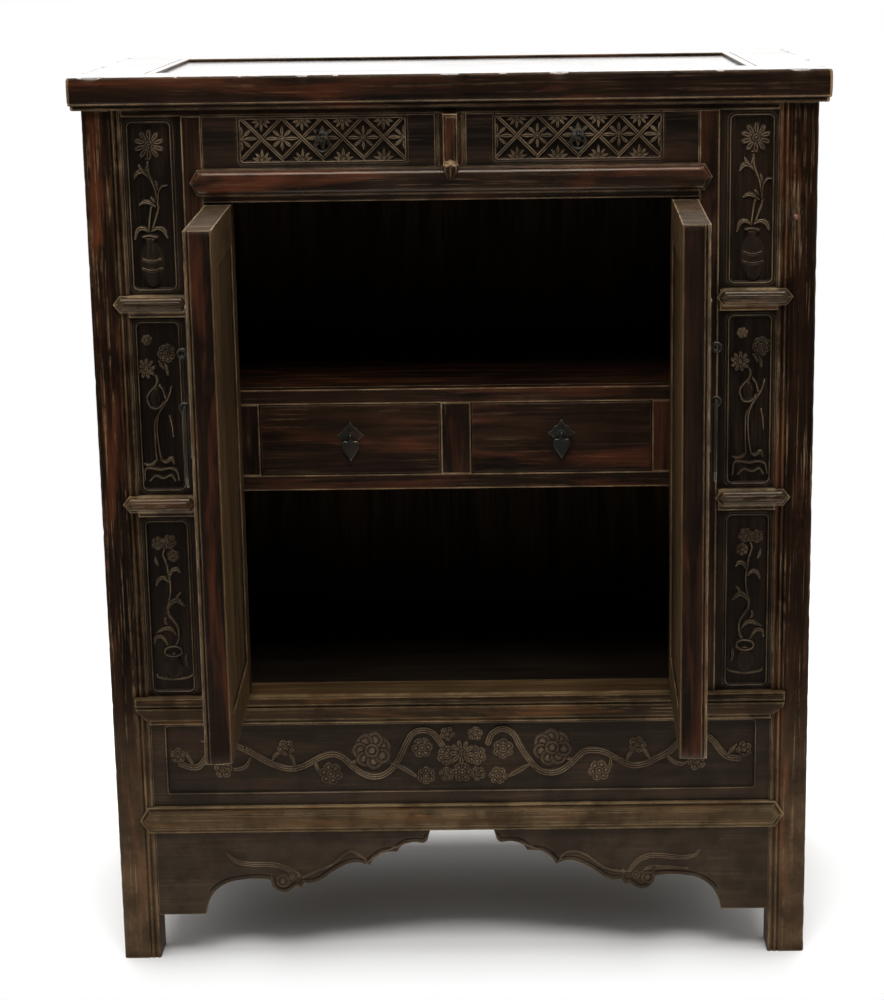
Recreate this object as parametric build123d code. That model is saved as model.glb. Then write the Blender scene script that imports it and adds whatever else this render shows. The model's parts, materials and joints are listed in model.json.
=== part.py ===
from build123d import *

import os
from math import cos, radians, sin

os.makedirs("parts", exist_ok=True)

# A kang cabinet in lacquered softwood. Millimetres, +Z up, the front faces -Y.
# Pairs such as (low, high) give the two limits of a piece along one axis.

# Overall size
body_width = 860.0
body_depth = 474.0
total_height = 1100.0
top_thickness = 38.0
top_overhang = 13.0

# Fits
joint_gap = 0.2  # round every tenon and tongue in its socket
running_gap = 0.06  # radial, round a turning pin
slide_gap = 0.8  # beside and above a drawer
rest_gap = 0.3  # under a drawer
shoulder = 6.0  # step from a rail's edge to its tenon
board_clear = 0.5  # where a loose board passes a post

# Heights of the front's parts, from the floor up; the door opening takes what is left
leg_clear = 168.0
base_rail_height = 34.0
belly_height = 108.0
sill_height = 36.0
drawer_rail_height = 39.0
upper_drawer_height = 62.0
top_rail_height = 8.0

# Widths of the front's parts, from the side inwards; the door opening takes what is left
post_size = 46.0
carved_width = 70.0
door_post_width = 23.0
divider_width = 34.0

# Depths
front_frame_depth = 56.0
base_rail_depth = 40.0
front_board = 14.0
front_board_setback = 4.0
front_tongue = 6.0
tongue_reach = 5.0
sunk_field = 3.0
top_rail_setback = 2.0
top_rail_shoulder = 2.0
nose_reach = 8.0
drawer_nose_reach = 10.0

# Aprons: their pattern is drawn in from the leg and down from the base rail
apron_height = 110.5
apron_length = 344.5
apron_thick = 16.0
apron_setback = 3.0
apron_tongue = 5.0
apron_tongue_end = 12.0
apron_tongue_leg = 2.0
# each edge runs from the last point to its own end, in shares of the length and the
# height; a curved one passes through its middle point
apron_pattern = [
    ((0.9927, 0.0814),),
    ((0.9840, 0.1493), (0.9666, 0.1674)),
    ((0.9405, 0.1575), (0.9115, 0.1692)),
    ((0.8911, 0.2081), (0.8781, 0.2715)),
    ((0.8476, 0.2697), (0.8215, 0.2851)),
    ((0.7925, 0.3484), (0.7736, 0.4389)),
    ((0.7286, 0.3946), (0.6821, 0.4299)),
    ((0.6415, 0.5023), (0.6038, 0.5882)),
    ((0.5689, 0.6335), (0.5341, 0.6317)),
    ((0.5254, 0.6968),),
    ((0.5051, 0.6742),),
    ((0.4586, 0.7511), (0.4165, 0.6697)),
    ((0.4151, 0.6199), (0.4064, 0.5900)),
    ((0.3541, 0.5774), (0.2932, 0.5955)),
    ((0.2177, 0.6968), (0.1771, 0.9231)),
    ((0.1727, 1.0),),
]

# Tenons
front_tenon = 22.0
front_tenon_thick = 12.0
front_tenon_setback = 16.0
short_tenon = 11.0
short_tenon_thick = 10.0
stub = 6.0

# Carved panels and the short rails between them
short_rail_height = 26.0
short_rail_depth = 30.0
upper_short_rise = 485.5  # from the sill to the middle of the rail
lower_short_rise = 242.0
carved_border = 7.0
carved_inner_border = 14.0
belly_border_side = 19.0
belly_border_top = 3.0
belly_border_bottom = 17.0

sill_band = 14.0  # the upper band of its moulding
sill_groove = 5.0
sill_chamfer = 12.0
sill_round = 3.0
nose_round = 7.0
short_nose_round = 6.0
drawer_nose_round = 7.0
post_round = 3.0

# Pointed ends of the mouldings: how far the tip and its corners pass the shoulder
sill_lap = 16.0
base_lap = 18.0
base_point = 13.0
drawer_rail_lap = 15.5
drawer_rail_point = 14.0
short_rail_lap_out = 19.0
short_rail_lap_in = 2.0
short_rail_point_out = 9.5
short_rail_point_in = 6.5

# Sides and back
side_rail_thick = 24.0
side_inset = 2.0
side_panel_thick = 10.0
side_tongue = 8.0
side_shoulder = 10.0
side_top_rail_height = 35.0
back_rail_thick = 24.0
back_inset = 4.0
back_panel_thick = 8.0
ledger_thick = 18.0
ledger_tenon = 16.0
shelf_ledger_height = 32.0
drawer_ledger_height = 18.0

# Horizontal boards
floor_thick = 12.0
floor_drop = 6.0
bottom_thick = 10.0
bottom_rise = 16.0
board_groove = 4.0
front_groove = 6.0
shelf_thick = 14.0
shelf_tongue_end = 4.0
shelf_shoulder = 3.0
cleat_width = 18.0
cleat_height = 18.0
cleat_front_gap = 6.0
cleat_rear_gap = 2.0

# Frame of the inner drawers
door_sweep_gap = 0.6  # between the frame and the doors' turning corners
shelf_rise = 376.0  # from the sill to the upper face of the shelf
inner_top_rail = 18.0
inner_drawer_height = 88.0
inner_bottom_rail = 18.5
jamb_width = 52.0
inner_divider = 36.0
inner_tenon = 12.0
inner_tenon_thick = 10.0

# Doors
door_gap = 1.0  # beside the post
door_meeting_gap = 0.75  # each side of the middle
door_gap_top = 2.0
door_gap_bottom = 1.5
door_thick = 31.0
door_stile = 42.0
door_rail = 46.0
door_panel_setback = 8.0
door_panel_inside_setback = 3.0  # keeps it off the eyes behind the shut door
door_tongue_thick = 6.0
door_tongue = 6.0
door_tenon = 28.0
door_tenon_thick = 10.0
door_tenon_shoulder = 9.0
door_open = 88.6  # degrees from closed, as the cabinet stands
pivot_radius = 7.0
pivot_top = 14.0
pivot_bottom = 10.0
pivot_end_gap = 0.5

# Drawers
drawer_front_thick = 18.0
drawer_front_setback = 0.5
drawer_side = 9.0
drawer_bottom = 6.0
drawer_bottom_rise = 4.0
drawer_tongue = 5.0
drawer_box_drop = 9.0
drawer_box_inset = 0.4  # the sides stand in from the ends of the front
upper_drawer_end_gap = 42.5  # behind the box, to the ledger at the back
inner_drawer_end_gap = 24.5
runner_width = 22.0
runner_thick = 14.0
guide_height = 18.0
guide_gap = 1.0

# Top
end_member = 92.0
long_member = 88.0
panel_drop = 3.5
top_panel_thick = 14.0
top_tongue = 8.0
top_tongue_thick = 7.0
edge_step = 3.0
edge_step_height = 6.5
top_corner_round = 4.0
batten_width = 34.0
batten_place = 150.0
batten_tenon = 20.0
post_stub = 14.0
post_stub_height = 18.0

# Pendant of the drawer divider
pendant_width = 18.0
pendant_thick = 6.0
pendant_drop = 17.0
pendant_point = 8.0
divider_setback = 4.0

# Iron: eyes, rings and drop pulls
plate_thick = 1.2
eye_clear = 0.3
door_eye_wire = 1.9
door_eye_radius = 4.3
small_eye_wire = 1.3
shank_length = 14.0
shank_radius = 1.3
door_plate_width = 30.0
door_plate_height = 170.0
door_plate_round = 5.0
door_plate_drop = 166.0  # from the top of the door to the middle of the plate
door_eye_spacing = 60.0
pull_bar_side = 0.6  # beside an eye, and under it
door_pull_length = 90.0
door_pull_width = 15.0
door_pull_thick = 2.6
door_pull_bar = 1.5  # radius of the round bar in the eye
door_pull_neck = 5.0
door_pull_waist = 4.0
# half widths of the strap down its length, each with its share of the length
door_pull_belly_place = 0.69
door_pull_shoulder_place = 0.87
door_pull_waist_place = 0.33
door_pull_shoulder = 6.0
ring_radius = 8.5
ring_wire = 1.3
ring_drop = 25.5  # from the top of the opening to the drawer's eye
ring_shift = 5.0  # from the middle of the drawer's front towards the divider
rosette_radius = 7.0
lozenge = 17.0
lozenge_waist = 9.5
drop_length = 31.0
drop_width = 22.0
drop_thick = 1.8
drop_bar = 1.0
drop_neck = 5.0
drop_cheek = 9.5
drop_lip = 5.5
drop_wide_place = 0.32
drop_cheek_place = 0.48
drop_lip_place = 0.77
drop_rise = 49.0  # from the bottom of the opening to the drawer's eye

# Places worked out from the sizes above
side = body_width / 2
body_height = total_height - top_thickness
base_z = (leg_clear, leg_clear + base_rail_height)
belly_z = (base_z[1], base_z[1] + belly_height)
sill_z = (belly_z[1], belly_z[1] + sill_height)
top_rail_z = (body_height - top_rail_height, body_height)
upper_z = (top_rail_z[0] - upper_drawer_height, top_rail_z[0])
drawer_rail_z = (upper_z[0] - drawer_rail_height, upper_z[0])
opening_z = (sill_z[1], drawer_rail_z[0])

post_x = (side - post_size, side)
carved_x = (post_x[0] - carved_width, post_x[0])
door_post_x = (carved_x[0] - door_post_width, carved_x[0])
half_opening = door_post_x[0]
between_posts = (-post_x[0], post_x[0])

pivot_edge = door_thick / 2
inner_setback = pivot_edge + pivot_edge * 2**0.5 + door_sweep_gap
pivot_x = half_opening - door_gap - pivot_edge
door_x = (door_meeting_gap, half_opening - door_gap)
door_z = (opening_z[0] + door_gap_bottom, opening_z[1] - door_gap_top)

# The origin is the middle of the whole outline, on the floor, with the doors open
swing = pivot_x - door_meeting_gap
reach = swing * sin(radians(door_open)) + pivot_edge * cos(radians(door_open)) - pivot_edge
front_y = (reach - (body_depth + top_overhang)) / 2
back_y = front_y + body_depth
pivot_y = front_y + pivot_edge

inner_top = sill_z[1] + shelf_rise
shelf_z = (inner_top - shelf_thick, inner_top)
inner_top_z = (inner_top - inner_top_rail, inner_top)
inner_drawer_z = (inner_top_z[0] - inner_drawer_height, inner_top_z[0])
inner_bottom_z = (inner_drawer_z[0] - inner_bottom_rail, inner_drawer_z[0])
jamb_x = (half_opening - jamb_width, half_opening)
door_plate_middle = door_z[1] - door_plate_drop
ring_height = upper_z[1] - ring_drop
drop_height = inner_drawer_z[0] + drop_rise

side_x = (side - side_inset - side_rail_thick, side - side_inset)
side_mid = sum(side_x) / 2
side_panel_x = (side_mid - side_panel_thick / 2, side_mid + side_panel_thick / 2)
side_y = (front_y + post_size, back_y - post_size)
back_rail_y = (back_y - back_inset - back_rail_thick, back_y - back_inset)
back_mid = sum(back_rail_y) / 2
back_panel_y = (back_mid - back_panel_thick / 2, back_mid + back_panel_thick / 2)
ledger_y = (side_y[1], side_y[1] + ledger_thick)
upper_drawer_face = front_y + drawer_front_setback
inner_drawer_face = front_y + inner_setback + drawer_front_setback
upper_drawer_length = ledger_y[0] - upper_drawer_end_gap - upper_drawer_face
inner_drawer_length = ledger_y[0] - inner_drawer_end_gap - inner_drawer_face
side_top_z = (body_height - side_top_rail_height, body_height)


def deep(near, far):
    # two depths measured back from the front plane
    return (front_y + near, front_y + far)


def bar(x, y, z):
    # a straight-sided piece between three pairs of limits
    middle = Pos(sum(x) / 2, sum(y) / 2, sum(z) / 2)
    return middle * Box(x[1] - x[0], y[1] - y[0], z[1] - z[0])


def socket(x, y, z, gap=joint_gap):
    # the room that such a piece needs in its neighbour
    return bar((x[0] - gap, x[1] + gap), (y[0] - gap, y[1] + gap), (z[0] - gap, z[1] + gap))


def within(pair, step):
    # a pair of limits drawn in by a step at each end
    return (pair[0] + step, pair[1] - step)


def centred(middle, width):
    return (middle - width / 2, middle + width / 2)


def upright(outline, y):
    # an outline of (x, z) corners given a thickness along Y
    face = make_face(Polyline([(px, y[0], pz) for px, pz in outline], close=True))
    return extrude(face, amount=y[1] - y[0], dir=(0, 1, 0))


def flat(outline, z):
    # an outline of (x, y) corners given a thickness along Z
    face = make_face(Polyline([(px, py, z[0]) for px, py in outline], close=True))
    return extrude(face, amount=z[1] - z[0], dir=(0, 0, 1))


def rod_x(radius, x, y, z):
    return Pos(sum(x) / 2, y, z) * Rot(0, 90, 0) * Cylinder(radius, x[1] - x[0])


def rod_y(radius, x, y, z):
    return Pos(x, sum(y) / 2, z) * Rot(90, 0, 0) * Cylinder(radius, y[1] - y[0])


def rod_z(radius, x, y, z):
    return Pos(x, y, sum(z) / 2) * Cylinder(radius, z[1] - z[0])


def other_side(piece):
    return mirror(piece, about=Plane.YZ)


def save(node, *pieces):
    solids = [solid for piece in pieces for solid in piece.solids()]
    shape = solids[0] if len(solids) == 1 else Compound(solids)
    export_step(shape, f"parts/{node}.step")


# Tenons: each is one set of limits, added to the rail and cut from the post


def front_rail_tenon(z, step=shoulder):
    depth = deep(front_tenon_setback, front_tenon_setback + front_tenon_thick)
    return ((post_x[0], post_x[0] + front_tenon), depth, within(z, step))


def side_rail_tenons(z):
    height = within(z, side_shoulder)
    front = (side_y[0] - front_tenon, side_y[0])
    rear = (side_y[1], side_y[1] + front_tenon)
    return [(side_panel_x, front, height), (side_panel_x, rear, height)]


def back_rail_tenon(z):
    return ((post_x[0], post_x[0] + front_tenon), back_panel_y, within(z, side_shoulder))


def ledger_end(z):
    return ((post_x[0], post_x[0] + ledger_tenon), within(ledger_y, shoulder), within(z, shoulder / 2))


def door_post_tenon(z):
    depth = deep(front_tenon_setback, front_tenon_setback + short_tenon_thick)
    return ((half_opening, half_opening + short_tenon), depth, within(z, shoulder))


def short_rail_tenons(middle):
    height = within(centred(middle, short_rail_height), shoulder)
    depth = deep(front_tenon_setback, front_tenon_setback + short_tenon_thick)
    inner = (carved_x[0] - short_tenon / 2, carved_x[0])
    outer = (carved_x[1], carved_x[1] + short_tenon)
    return [(inner, depth, height), (outer, depth, height)]


def inner_rail_tenon(z):
    depth = deep(inner_setback + shoulder, inner_setback + shoulder + inner_tenon_thick)
    return ((half_opening, half_opening + inner_tenon), depth, within(z, shoulder / 2))


def post_stub_box(x, y):
    wide = centred(sum(x) / 2, post_stub)
    long = centred(sum(y) / 2, post_stub)
    return (wide, long, (body_height, body_height + post_stub_height))


def door_post_stubs():
    wide = centred(sum(door_post_x) / 2, short_tenon_thick)
    depth = deep(front_tenon_setback, front_tenon_setback + short_tenon_thick)
    foot = (wide, depth, (sill_z[1] - stub, sill_z[1]))
    head = (wide, depth, (top_rail_z[0], top_rail_z[0] + stub))
    return [foot, head]


def inner_stile_stubs(x):
    wide = within(x, shoulder * 2)
    depth = deep(inner_setback + shoulder, front_frame_depth - shoulder / 2)
    foot = (wide, depth, (inner_drawer_z[0] - stub, inner_drawer_z[0]))
    head = (wide, depth, (inner_drawer_z[1], inner_drawer_z[1] + stub))
    return [foot, head]


# Panels: each tongue is one set of limits, added to the panel and cut from its frame

short_rails = (sill_z[1] + lower_short_rise, sill_z[1] + upper_short_rise)
short_half = short_rail_height / 2
carved_z = [
    (sill_z[1], short_rails[0] - short_half),
    (short_rails[0] + short_half, short_rails[1] - short_half),
    (short_rails[1] + short_half, top_rail_z[0]),
]
front_tongue_near = front_board_setback + (front_board - front_tongue) / 2
front_tongue_y = deep(front_tongue_near, front_tongue_near + front_tongue)


def grown(pair, step):
    return within(pair, -step)


def carved_tongue(z):
    return (grown(carved_x, tongue_reach), front_tongue_y, grown(z, tongue_reach))


def belly_tongue():
    return (grown(between_posts, tongue_reach), front_tongue_y, grown(belly_z, tongue_reach))


def side_panel_tongue(z):
    return (side_panel_x, grown(side_y, side_tongue), grown(z, side_tongue))


def back_panel_tongue(z):
    return (grown(between_posts, side_tongue), back_panel_y, grown(z, side_tongue))


side_panel_z = [(base_z[1], sill_z[0]), (sill_z[1], side_top_z[0])]
ledger_z = {
    "runner": (upper_z[0] - runner_thick - drawer_ledger_height, upper_z[0] - runner_thick),
    "shelf": (shelf_z[0] - shelf_ledger_height, shelf_z[0]),
    "drawer": (
        inner_drawer_z[0] - runner_thick - drawer_ledger_height,
        inner_drawer_z[0] - runner_thick,
    ),
}
apron_mid = apron_setback + apron_thick / 2
apron_tongue_y = deep(apron_mid - apron_tongue / 2, apron_mid + apron_tongue / 2)
apron_side_tongue = (
    (post_x[0], post_x[0] + tongue_reach),
    apron_tongue_y,
    within((leg_clear - apron_height, leg_clear), apron_tongue_end),
)
apron_top_tongue = (
    (post_x[0] - apron_length + apron_tongue_end, post_x[0] - apron_tongue_leg),
    apron_tongue_y,
    (leg_clear, leg_clear + tongue_reach),
)


# Posts


def front_post():
    post = bar(post_x, deep(0, post_size), (0, body_height))
    post = fillet(post.edges().filter_by(Axis.Z), post_round)
    post += bar(*post_stub_box(post_x, deep(0, post_size)))
    for z in (base_z, sill_z):
        post -= socket(*front_rail_tenon(z))
    post -= socket(*front_rail_tenon(top_rail_z, top_rail_shoulder))
    for middle in short_rails:
        post -= socket(*short_rail_tenons(middle)[1])
    for z in carved_z:
        post -= socket(*carved_tongue(z))
    post -= socket(*belly_tongue())
    post -= socket(*apron_side_tongue)
    return cut_for_side(post)


def rear_post():
    y = (back_y - post_size, back_y)
    post = bar(post_x, y, (0, body_height))
    post = fillet(post.edges().filter_by(Axis.Z), post_round)
    post += bar(*post_stub_box(post_x, y))
    for z in (base_z, sill_z, side_top_z):
        post -= socket(*back_rail_tenon(z))
    for z in ledger_z.values():
        post -= socket(*ledger_end(z))
    for z in side_panel_z:
        post -= socket(*back_panel_tongue(z))
    return cut_for_side(post)


def cut_for_side(post):
    # mortises of the side rails and grooves of the side panels
    for z in (base_z, sill_z, side_top_z):
        for tenon in side_rail_tenons(z):
            post -= socket(*tenon)
    for z in side_panel_z:
        post -= socket(*side_panel_tongue(z))
    return post


def door_post():
    post = bar(door_post_x, deep(0, front_frame_depth), (sill_z[1], top_rail_z[0]))
    for tenon in door_post_stubs():
        post += bar(*tenon)
    post -= socket(*door_post_tenon(drawer_rail_z))
    for middle in short_rails:
        post -= socket(*short_rail_tenons(middle)[0])
    for z in carved_z:
        post -= socket(*carved_tongue(z))
    for z in (inner_top_z, inner_bottom_z):
        post -= socket(*inner_rail_tenon(z))
    return post


# Front rails: a core between the posts and a moulded nose lapping over them


def nose(outline, z, reach_out, radius):
    # the moulding: rounded along its length, its ends cut to the outline
    tips = [px for px, pz in outline]
    strip = bar((min(tips) - 1, max(tips) + 1), deep(-reach_out, 0), z)
    rounded = strip.edges().filter_by(Axis.X).sort_by(Axis.Y)[:2]
    return fillet(rounded, radius) & upright(outline, deep(-reach_out - 1, 0))


def pointed(half, tip, z):
    # both ends run out to a point at mid height
    mid = sum(z) / 2
    return [(-half, z[0]), (half, z[0]), (tip, mid), (half, z[1]), (-half, z[1]), (-tip, mid)]


def pivot_hole(z):
    return rod_z(pivot_radius + running_gap, pivot_x, pivot_y, z)


def drawer_rail():
    core = bar((-half_opening, half_opening), deep(0, front_frame_depth), drawer_rail_z)
    tip = half_opening + drawer_rail_lap
    outline = pointed(tip - drawer_rail_point, tip, drawer_rail_z)
    rail = core + nose(outline, drawer_rail_z, drawer_nose_reach, drawer_nose_round)
    tenon = bar(*door_post_tenon(drawer_rail_z))
    rail = rail + tenon + other_side(tenon)
    hole = pivot_hole((opening_z[1] - 1, door_z[1] + pivot_top + pivot_end_gap))
    return rail - hole - other_side(hole) - socket(*divider_stubs()[0])


def sill_rail():
    core = bar(between_posts, deep(0, front_frame_depth), sill_z)
    tip = post_x[0] + sill_lap
    outline = [
        (-tip + sill_chamfer, sill_z[0]),
        (tip - sill_chamfer, sill_z[0]),
        (tip, sill_z[0] + sill_chamfer),
        (tip, sill_z[1]),
        (-tip, sill_z[1]),
        (-tip, sill_z[0] + sill_chamfer),
    ]
    rail = core + nose(outline, sill_z, nose_reach, sill_round)
    groove_z = (sill_z[1] - sill_band - sill_groove, sill_z[1] - sill_band)
    rail -= bar((-side, side), deep(-nose_reach - 1, -nose_reach + sill_round), groove_z)
    tenon = bar(*front_rail_tenon(sill_z))
    rail = rail + tenon + other_side(tenon)
    hole = pivot_hole((door_z[0] - pivot_bottom - pivot_end_gap, sill_z[1] + 1))
    rail = rail - hole - other_side(hole)
    stub_cut = socket(*door_post_stubs()[0])
    rail = rail - stub_cut - other_side(stub_cut)
    groove = socket(*carved_tongue(carved_z[0]))
    rail = rail - groove - other_side(groove)
    rail -= socket(*belly_tongue())
    return rail - socket(*floor_limits())


def base_rail():
    core = bar(between_posts, deep(0, base_rail_depth), base_z)
    tip = post_x[0] + base_lap
    outline = pointed(tip - base_point, tip, base_z)
    rail = core + nose(outline, base_z, nose_reach, nose_round)
    tenon = bar(*front_rail_tenon(base_z))
    rail = rail + tenon + other_side(tenon)
    rail -= socket(*belly_tongue())
    groove = socket(*apron_top_tongue)
    rail = rail - groove - other_side(groove)
    return rail - socket(*bottom_limits())


def front_top_rail():
    rail = bar(between_posts, deep(top_rail_setback, front_frame_depth), top_rail_z)
    tenon = bar(*front_rail_tenon(top_rail_z, top_rail_shoulder))
    rail = rail + tenon + other_side(tenon)
    for cut in (socket(*door_post_stubs()[1]), socket(*carved_tongue(carved_z[2]))):
        rail = rail - cut - other_side(cut)
    return rail - socket(*divider_stubs()[1])


def short_rail(middle):
    # a moulded rail between two carved panels, its ends pointed over the posts
    z = centred(middle, short_rail_height)
    core = bar(carved_x, deep(0, short_rail_depth), z)
    inner_tip = carved_x[0] - short_rail_lap_in
    outer_tip = carved_x[1] + short_rail_lap_out
    outline = [
        (inner_tip + short_rail_point_in, z[0]),
        (outer_tip - short_rail_point_out, z[0]),
        (outer_tip, middle),
        (outer_tip - short_rail_point_out, z[1]),
        (inner_tip + short_rail_point_in, z[1]),
        (inner_tip, middle),
    ]
    rail = core + nose(outline, z, nose_reach, short_nose_round)
    for tenon in short_rail_tenons(middle):
        rail += bar(*tenon)
    for panel in carved_z:
        rail -= socket(*carved_tongue(panel))
    return rail


# The divider between the upper drawers, with its pendant in front


def divider_stubs():
    wide = centred(0, divider_width - 2 * shoulder)
    depth = deep(front_tenon_setback, front_tenon_setback + short_tenon_thick)
    foot = (wide, depth, (upper_z[0] - stub, upper_z[0]))
    head = (wide, depth, (upper_z[1], upper_z[1] + stub - 1))
    return [foot, head]


def drawer_divider():
    core = bar(centred(0, divider_width), deep(divider_setback, front_frame_depth), upper_z)
    half = pendant_width / 2
    front = -drawer_nose_reach - rest_gap
    low = upper_z[0] - pendant_drop
    outline = [
        (-half, low + pendant_point),
        (0, low),
        (half, low + pendant_point),
        (half, upper_z[1]),
        (-half, upper_z[1]),
    ]
    pendant = upright(outline, deep(front - pendant_thick, front))
    block = bar(centred(0, pendant_width), deep(front, divider_setback), upper_z)
    divider = core + pendant + block
    for tenon in divider_stubs():
        divider += bar(*tenon)
    return divider


# Panels


def carved_panel(z):
    # a board with a raised border and a sunk field; the relief stands in the field
    near = front_board_setback
    panel = bar(carved_x, deep(near, near + front_board), z) + bar(*carved_tongue(z))
    field_x = (carved_x[0] + carved_inner_border, carved_x[1] - carved_border)
    return panel - bar(field_x, deep(near - 1, near + sunk_field), within(z, carved_border))


def lower_carved_panel():
    near = front_board_setback
    panel = bar(between_posts, deep(near, near + front_board), belly_z)
    panel += bar(*belly_tongue())
    field_x = (-post_x[0] + belly_border_side, post_x[0] - belly_border_side)
    field_z = (belly_z[0] + belly_border_bottom, belly_z[1] - belly_border_top)
    return panel - bar(field_x, deep(near - 1, near + sunk_field), field_z)


# The aprons: steps near the middle, a leaf, a scroll, and an arch down to the foot


def apron_point(share):
    return (post_x[0] - share[0] * apron_length, leg_clear - share[1] * apron_height)


def apron():
    tip = (1.0, 0.0)
    corner = (0.0, 0.0)
    foot = (0.0, 1.0)
    edges = []
    start = tip
    for edge in apron_pattern + [(foot,), (corner,), (tip,)]:
        points = [apron_point(share) for share in (start, *edge)]
        edges.append(Line(*points) if len(points) == 2 else ThreePointArc(*points))
        start = edge[-1]
    face = Plane.XZ.offset(-deep(apron_setback, 0)[0]) * make_face(Curve() + edges)
    board = extrude(face, amount=apron_thick, dir=(0, 1, 0))
    return board + bar(*apron_top_tongue) + bar(*apron_side_tongue)


# Sides and back


def side_rails():
    rails = []
    for z in (base_z, sill_z, side_top_z):
        rail = bar(side_x, side_y, z)
        for tenon in side_rail_tenons(z):
            rail += bar(*tenon)
        for panel in side_panel_z:
            rail -= socket(*side_panel_tongue(panel))
        rails.append(rail - socket(*floor_limits()) - socket(*bottom_limits()))
    return rails


def side_panels():
    return [bar(*side_panel_tongue(z)) for z in side_panel_z]


def back_rails():
    rails = []
    for z in (base_z, sill_z, side_top_z):
        rail = bar(between_posts, back_rail_y, z)
        tenon = bar(*back_rail_tenon(z))
        rail = rail + tenon + other_side(tenon)
        for panel in side_panel_z:
            rail -= socket(*back_panel_tongue(panel))
        rails.append(rail - socket(*floor_limits()) - socket(*bottom_limits()))
    for z in ledger_z.values():
        ledger = bar(between_posts, ledger_y, z)
        end = bar(*ledger_end(z))
        rails.append(ledger + end + other_side(end))
    return rails


def back_panels():
    return [bar(*back_panel_tongue(z)) for z in side_panel_z]


# Boards


def board_width():
    return (-side_x[0] - board_groove, side_x[0] + board_groove)


def floor_limits():
    z = (sill_z[1] - floor_drop - floor_thick, sill_z[1] - floor_drop)
    y = (front_y + front_frame_depth - front_groove, back_rail_y[0] + board_groove)
    return (board_width(), y, z)


def bottom_limits():
    z = (base_z[0] + bottom_rise, base_z[0] + bottom_rise + bottom_thick)
    y = (front_y + base_rail_depth - front_groove, back_rail_y[0] + board_groove)
    return (board_width(), y, z)


def notch(board, z):
    # the board's corners are cut away round the four posts
    for y in (deep(0, post_size), (back_y - post_size, back_y)):
        cut = socket(post_x, y, z, board_clear)
        board = board - cut - other_side(cut)
    return board


def compartment_floor():
    return notch(bar(*floor_limits()), floor_limits()[2])


def bottom_board():
    return notch(bar(*bottom_limits()), bottom_limits()[2])


def shelf_board():
    y = (front_y + front_frame_depth, ledger_y[1])
    wide = (-side_panel_x[0], side_panel_x[0])
    board = notch(bar(wide, y, shelf_z), shelf_z)
    return board + bar(*shelf_tongue())


def shelf_tongue():
    y = deep(front_frame_depth - front_groove, front_frame_depth)
    return (within((-half_opening, half_opening), shelf_tongue_end), y, within(shelf_z, shelf_shoulder))


def shelf_cleats():
    x = (side_panel_x[0] - cleat_width, side_panel_x[0])
    y = (front_y + front_frame_depth + cleat_front_gap, ledger_y[0] - cleat_rear_gap)
    cleat = bar(x, y, (shelf_z[0] - cleat_height, shelf_z[0]))
    return [cleat, other_side(cleat)]


# The frame that holds the two inner drawers


def inner_drawer_rails():
    rails = []
    for z in (inner_top_z, inner_bottom_z):
        rail = bar((-half_opening, half_opening), deep(inner_setback, front_frame_depth), z)
        tenon = bar(*inner_rail_tenon(z))
        rail = rail + tenon + other_side(tenon) - socket(*shelf_tongue())
        for x in (jamb_x, (-jamb_x[1], -jamb_x[0]), centred(0, inner_divider)):
            for tenon_box in inner_stile_stubs(x):
                rail -= socket(*tenon_box)
        rails.append(rail)
    return rails


def inner_drawer_stiles():
    stiles = []
    for x in (jamb_x, (-jamb_x[1], -jamb_x[0]), centred(0, inner_divider)):
        depth = deep(inner_setback, front_frame_depth)
        stile = bar(x, depth, inner_drawer_z)
        for tenon in inner_stile_stubs(x):
            stile += bar(*tenon)
        stiles.append(stile)
    return stiles


def runner_pair(inner_x, outer_x, top):
    # a drawer's two runners: one by the divider, shared, and one by the jamb
    y = (front_y + front_frame_depth, ledger_y[1])
    low = (top - runner_thick, top)
    guide_z = (top, top + guide_height)
    middle = bar((-inner_x - runner_width, inner_x + runner_width), y, low)
    middle += bar((-inner_x + guide_gap, inner_x - guide_gap), y, guide_z)
    outer = bar((outer_x - runner_width, outer_x + runner_width), y, low)
    outer += bar((outer_x + guide_gap, outer_x + runner_width), y, guide_z)
    return [middle, outer, other_side(outer)]


def drawer_runners():
    upper = runner_pair(divider_width / 2, half_opening, upper_z[0])
    inner = runner_pair(inner_divider / 2, jamb_x[0], inner_drawer_z[0])
    return upper + inner


# The top: four mitred members round a sunk panel


def top_outline():
    x = side + top_overhang
    return (-x, x), (front_y - top_overhang, back_y + top_overhang)


def top_opening():
    x, y = top_outline()
    return within(x, end_member), within(y, long_member)


def top_panel_z():
    face = total_height - panel_drop
    return (face - top_panel_thick, face)


def top_tongue_box():
    x, y = top_opening()
    mid = sum(top_panel_z()) / 2
    return (grown(x, top_tongue), grown(y, top_tongue), centred(mid, top_tongue_thick))


def top_frame():
    x, y = top_outline()
    inner_x, inner_y = top_opening()
    z = (body_height, total_height)
    blank = bar(x, y, z)
    blank = fillet(blank.edges().filter_by(Axis.Z), top_corner_round)
    step_z = (body_height, body_height + edge_step_height)
    kept = bar(within(x, edge_step), within(y, edge_step), step_z)
    rim = bar(grown(x, edge_step), grown(y, edge_step), step_z) - kept
    blank = blank - rim - bar(inner_x, inner_y, z) - socket(*top_tongue_box())
    for y_post in (deep(0, post_size), (back_y - post_size, back_y)):
        cut = socket(*post_stub_box(post_x, y_post))
        blank = blank - cut - other_side(cut)
    for place in (-batten_place, batten_place):
        blank -= socket(*batten_limits(place))
    outer = [(x[0], y[0]), (x[1], y[0]), (x[1], y[1]), (x[0], y[1])]
    inner = [
        (inner_x[0], inner_y[0]),
        (inner_x[1], inner_y[0]),
        (inner_x[1], inner_y[1]),
        (inner_x[0], inner_y[1]),
    ]
    members = []
    for i in range(4):
        j = (i + 1) % 4
        members.append(blank & flat([outer[i], outer[j], inner[j], inner[i]], z))
    return members


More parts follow.
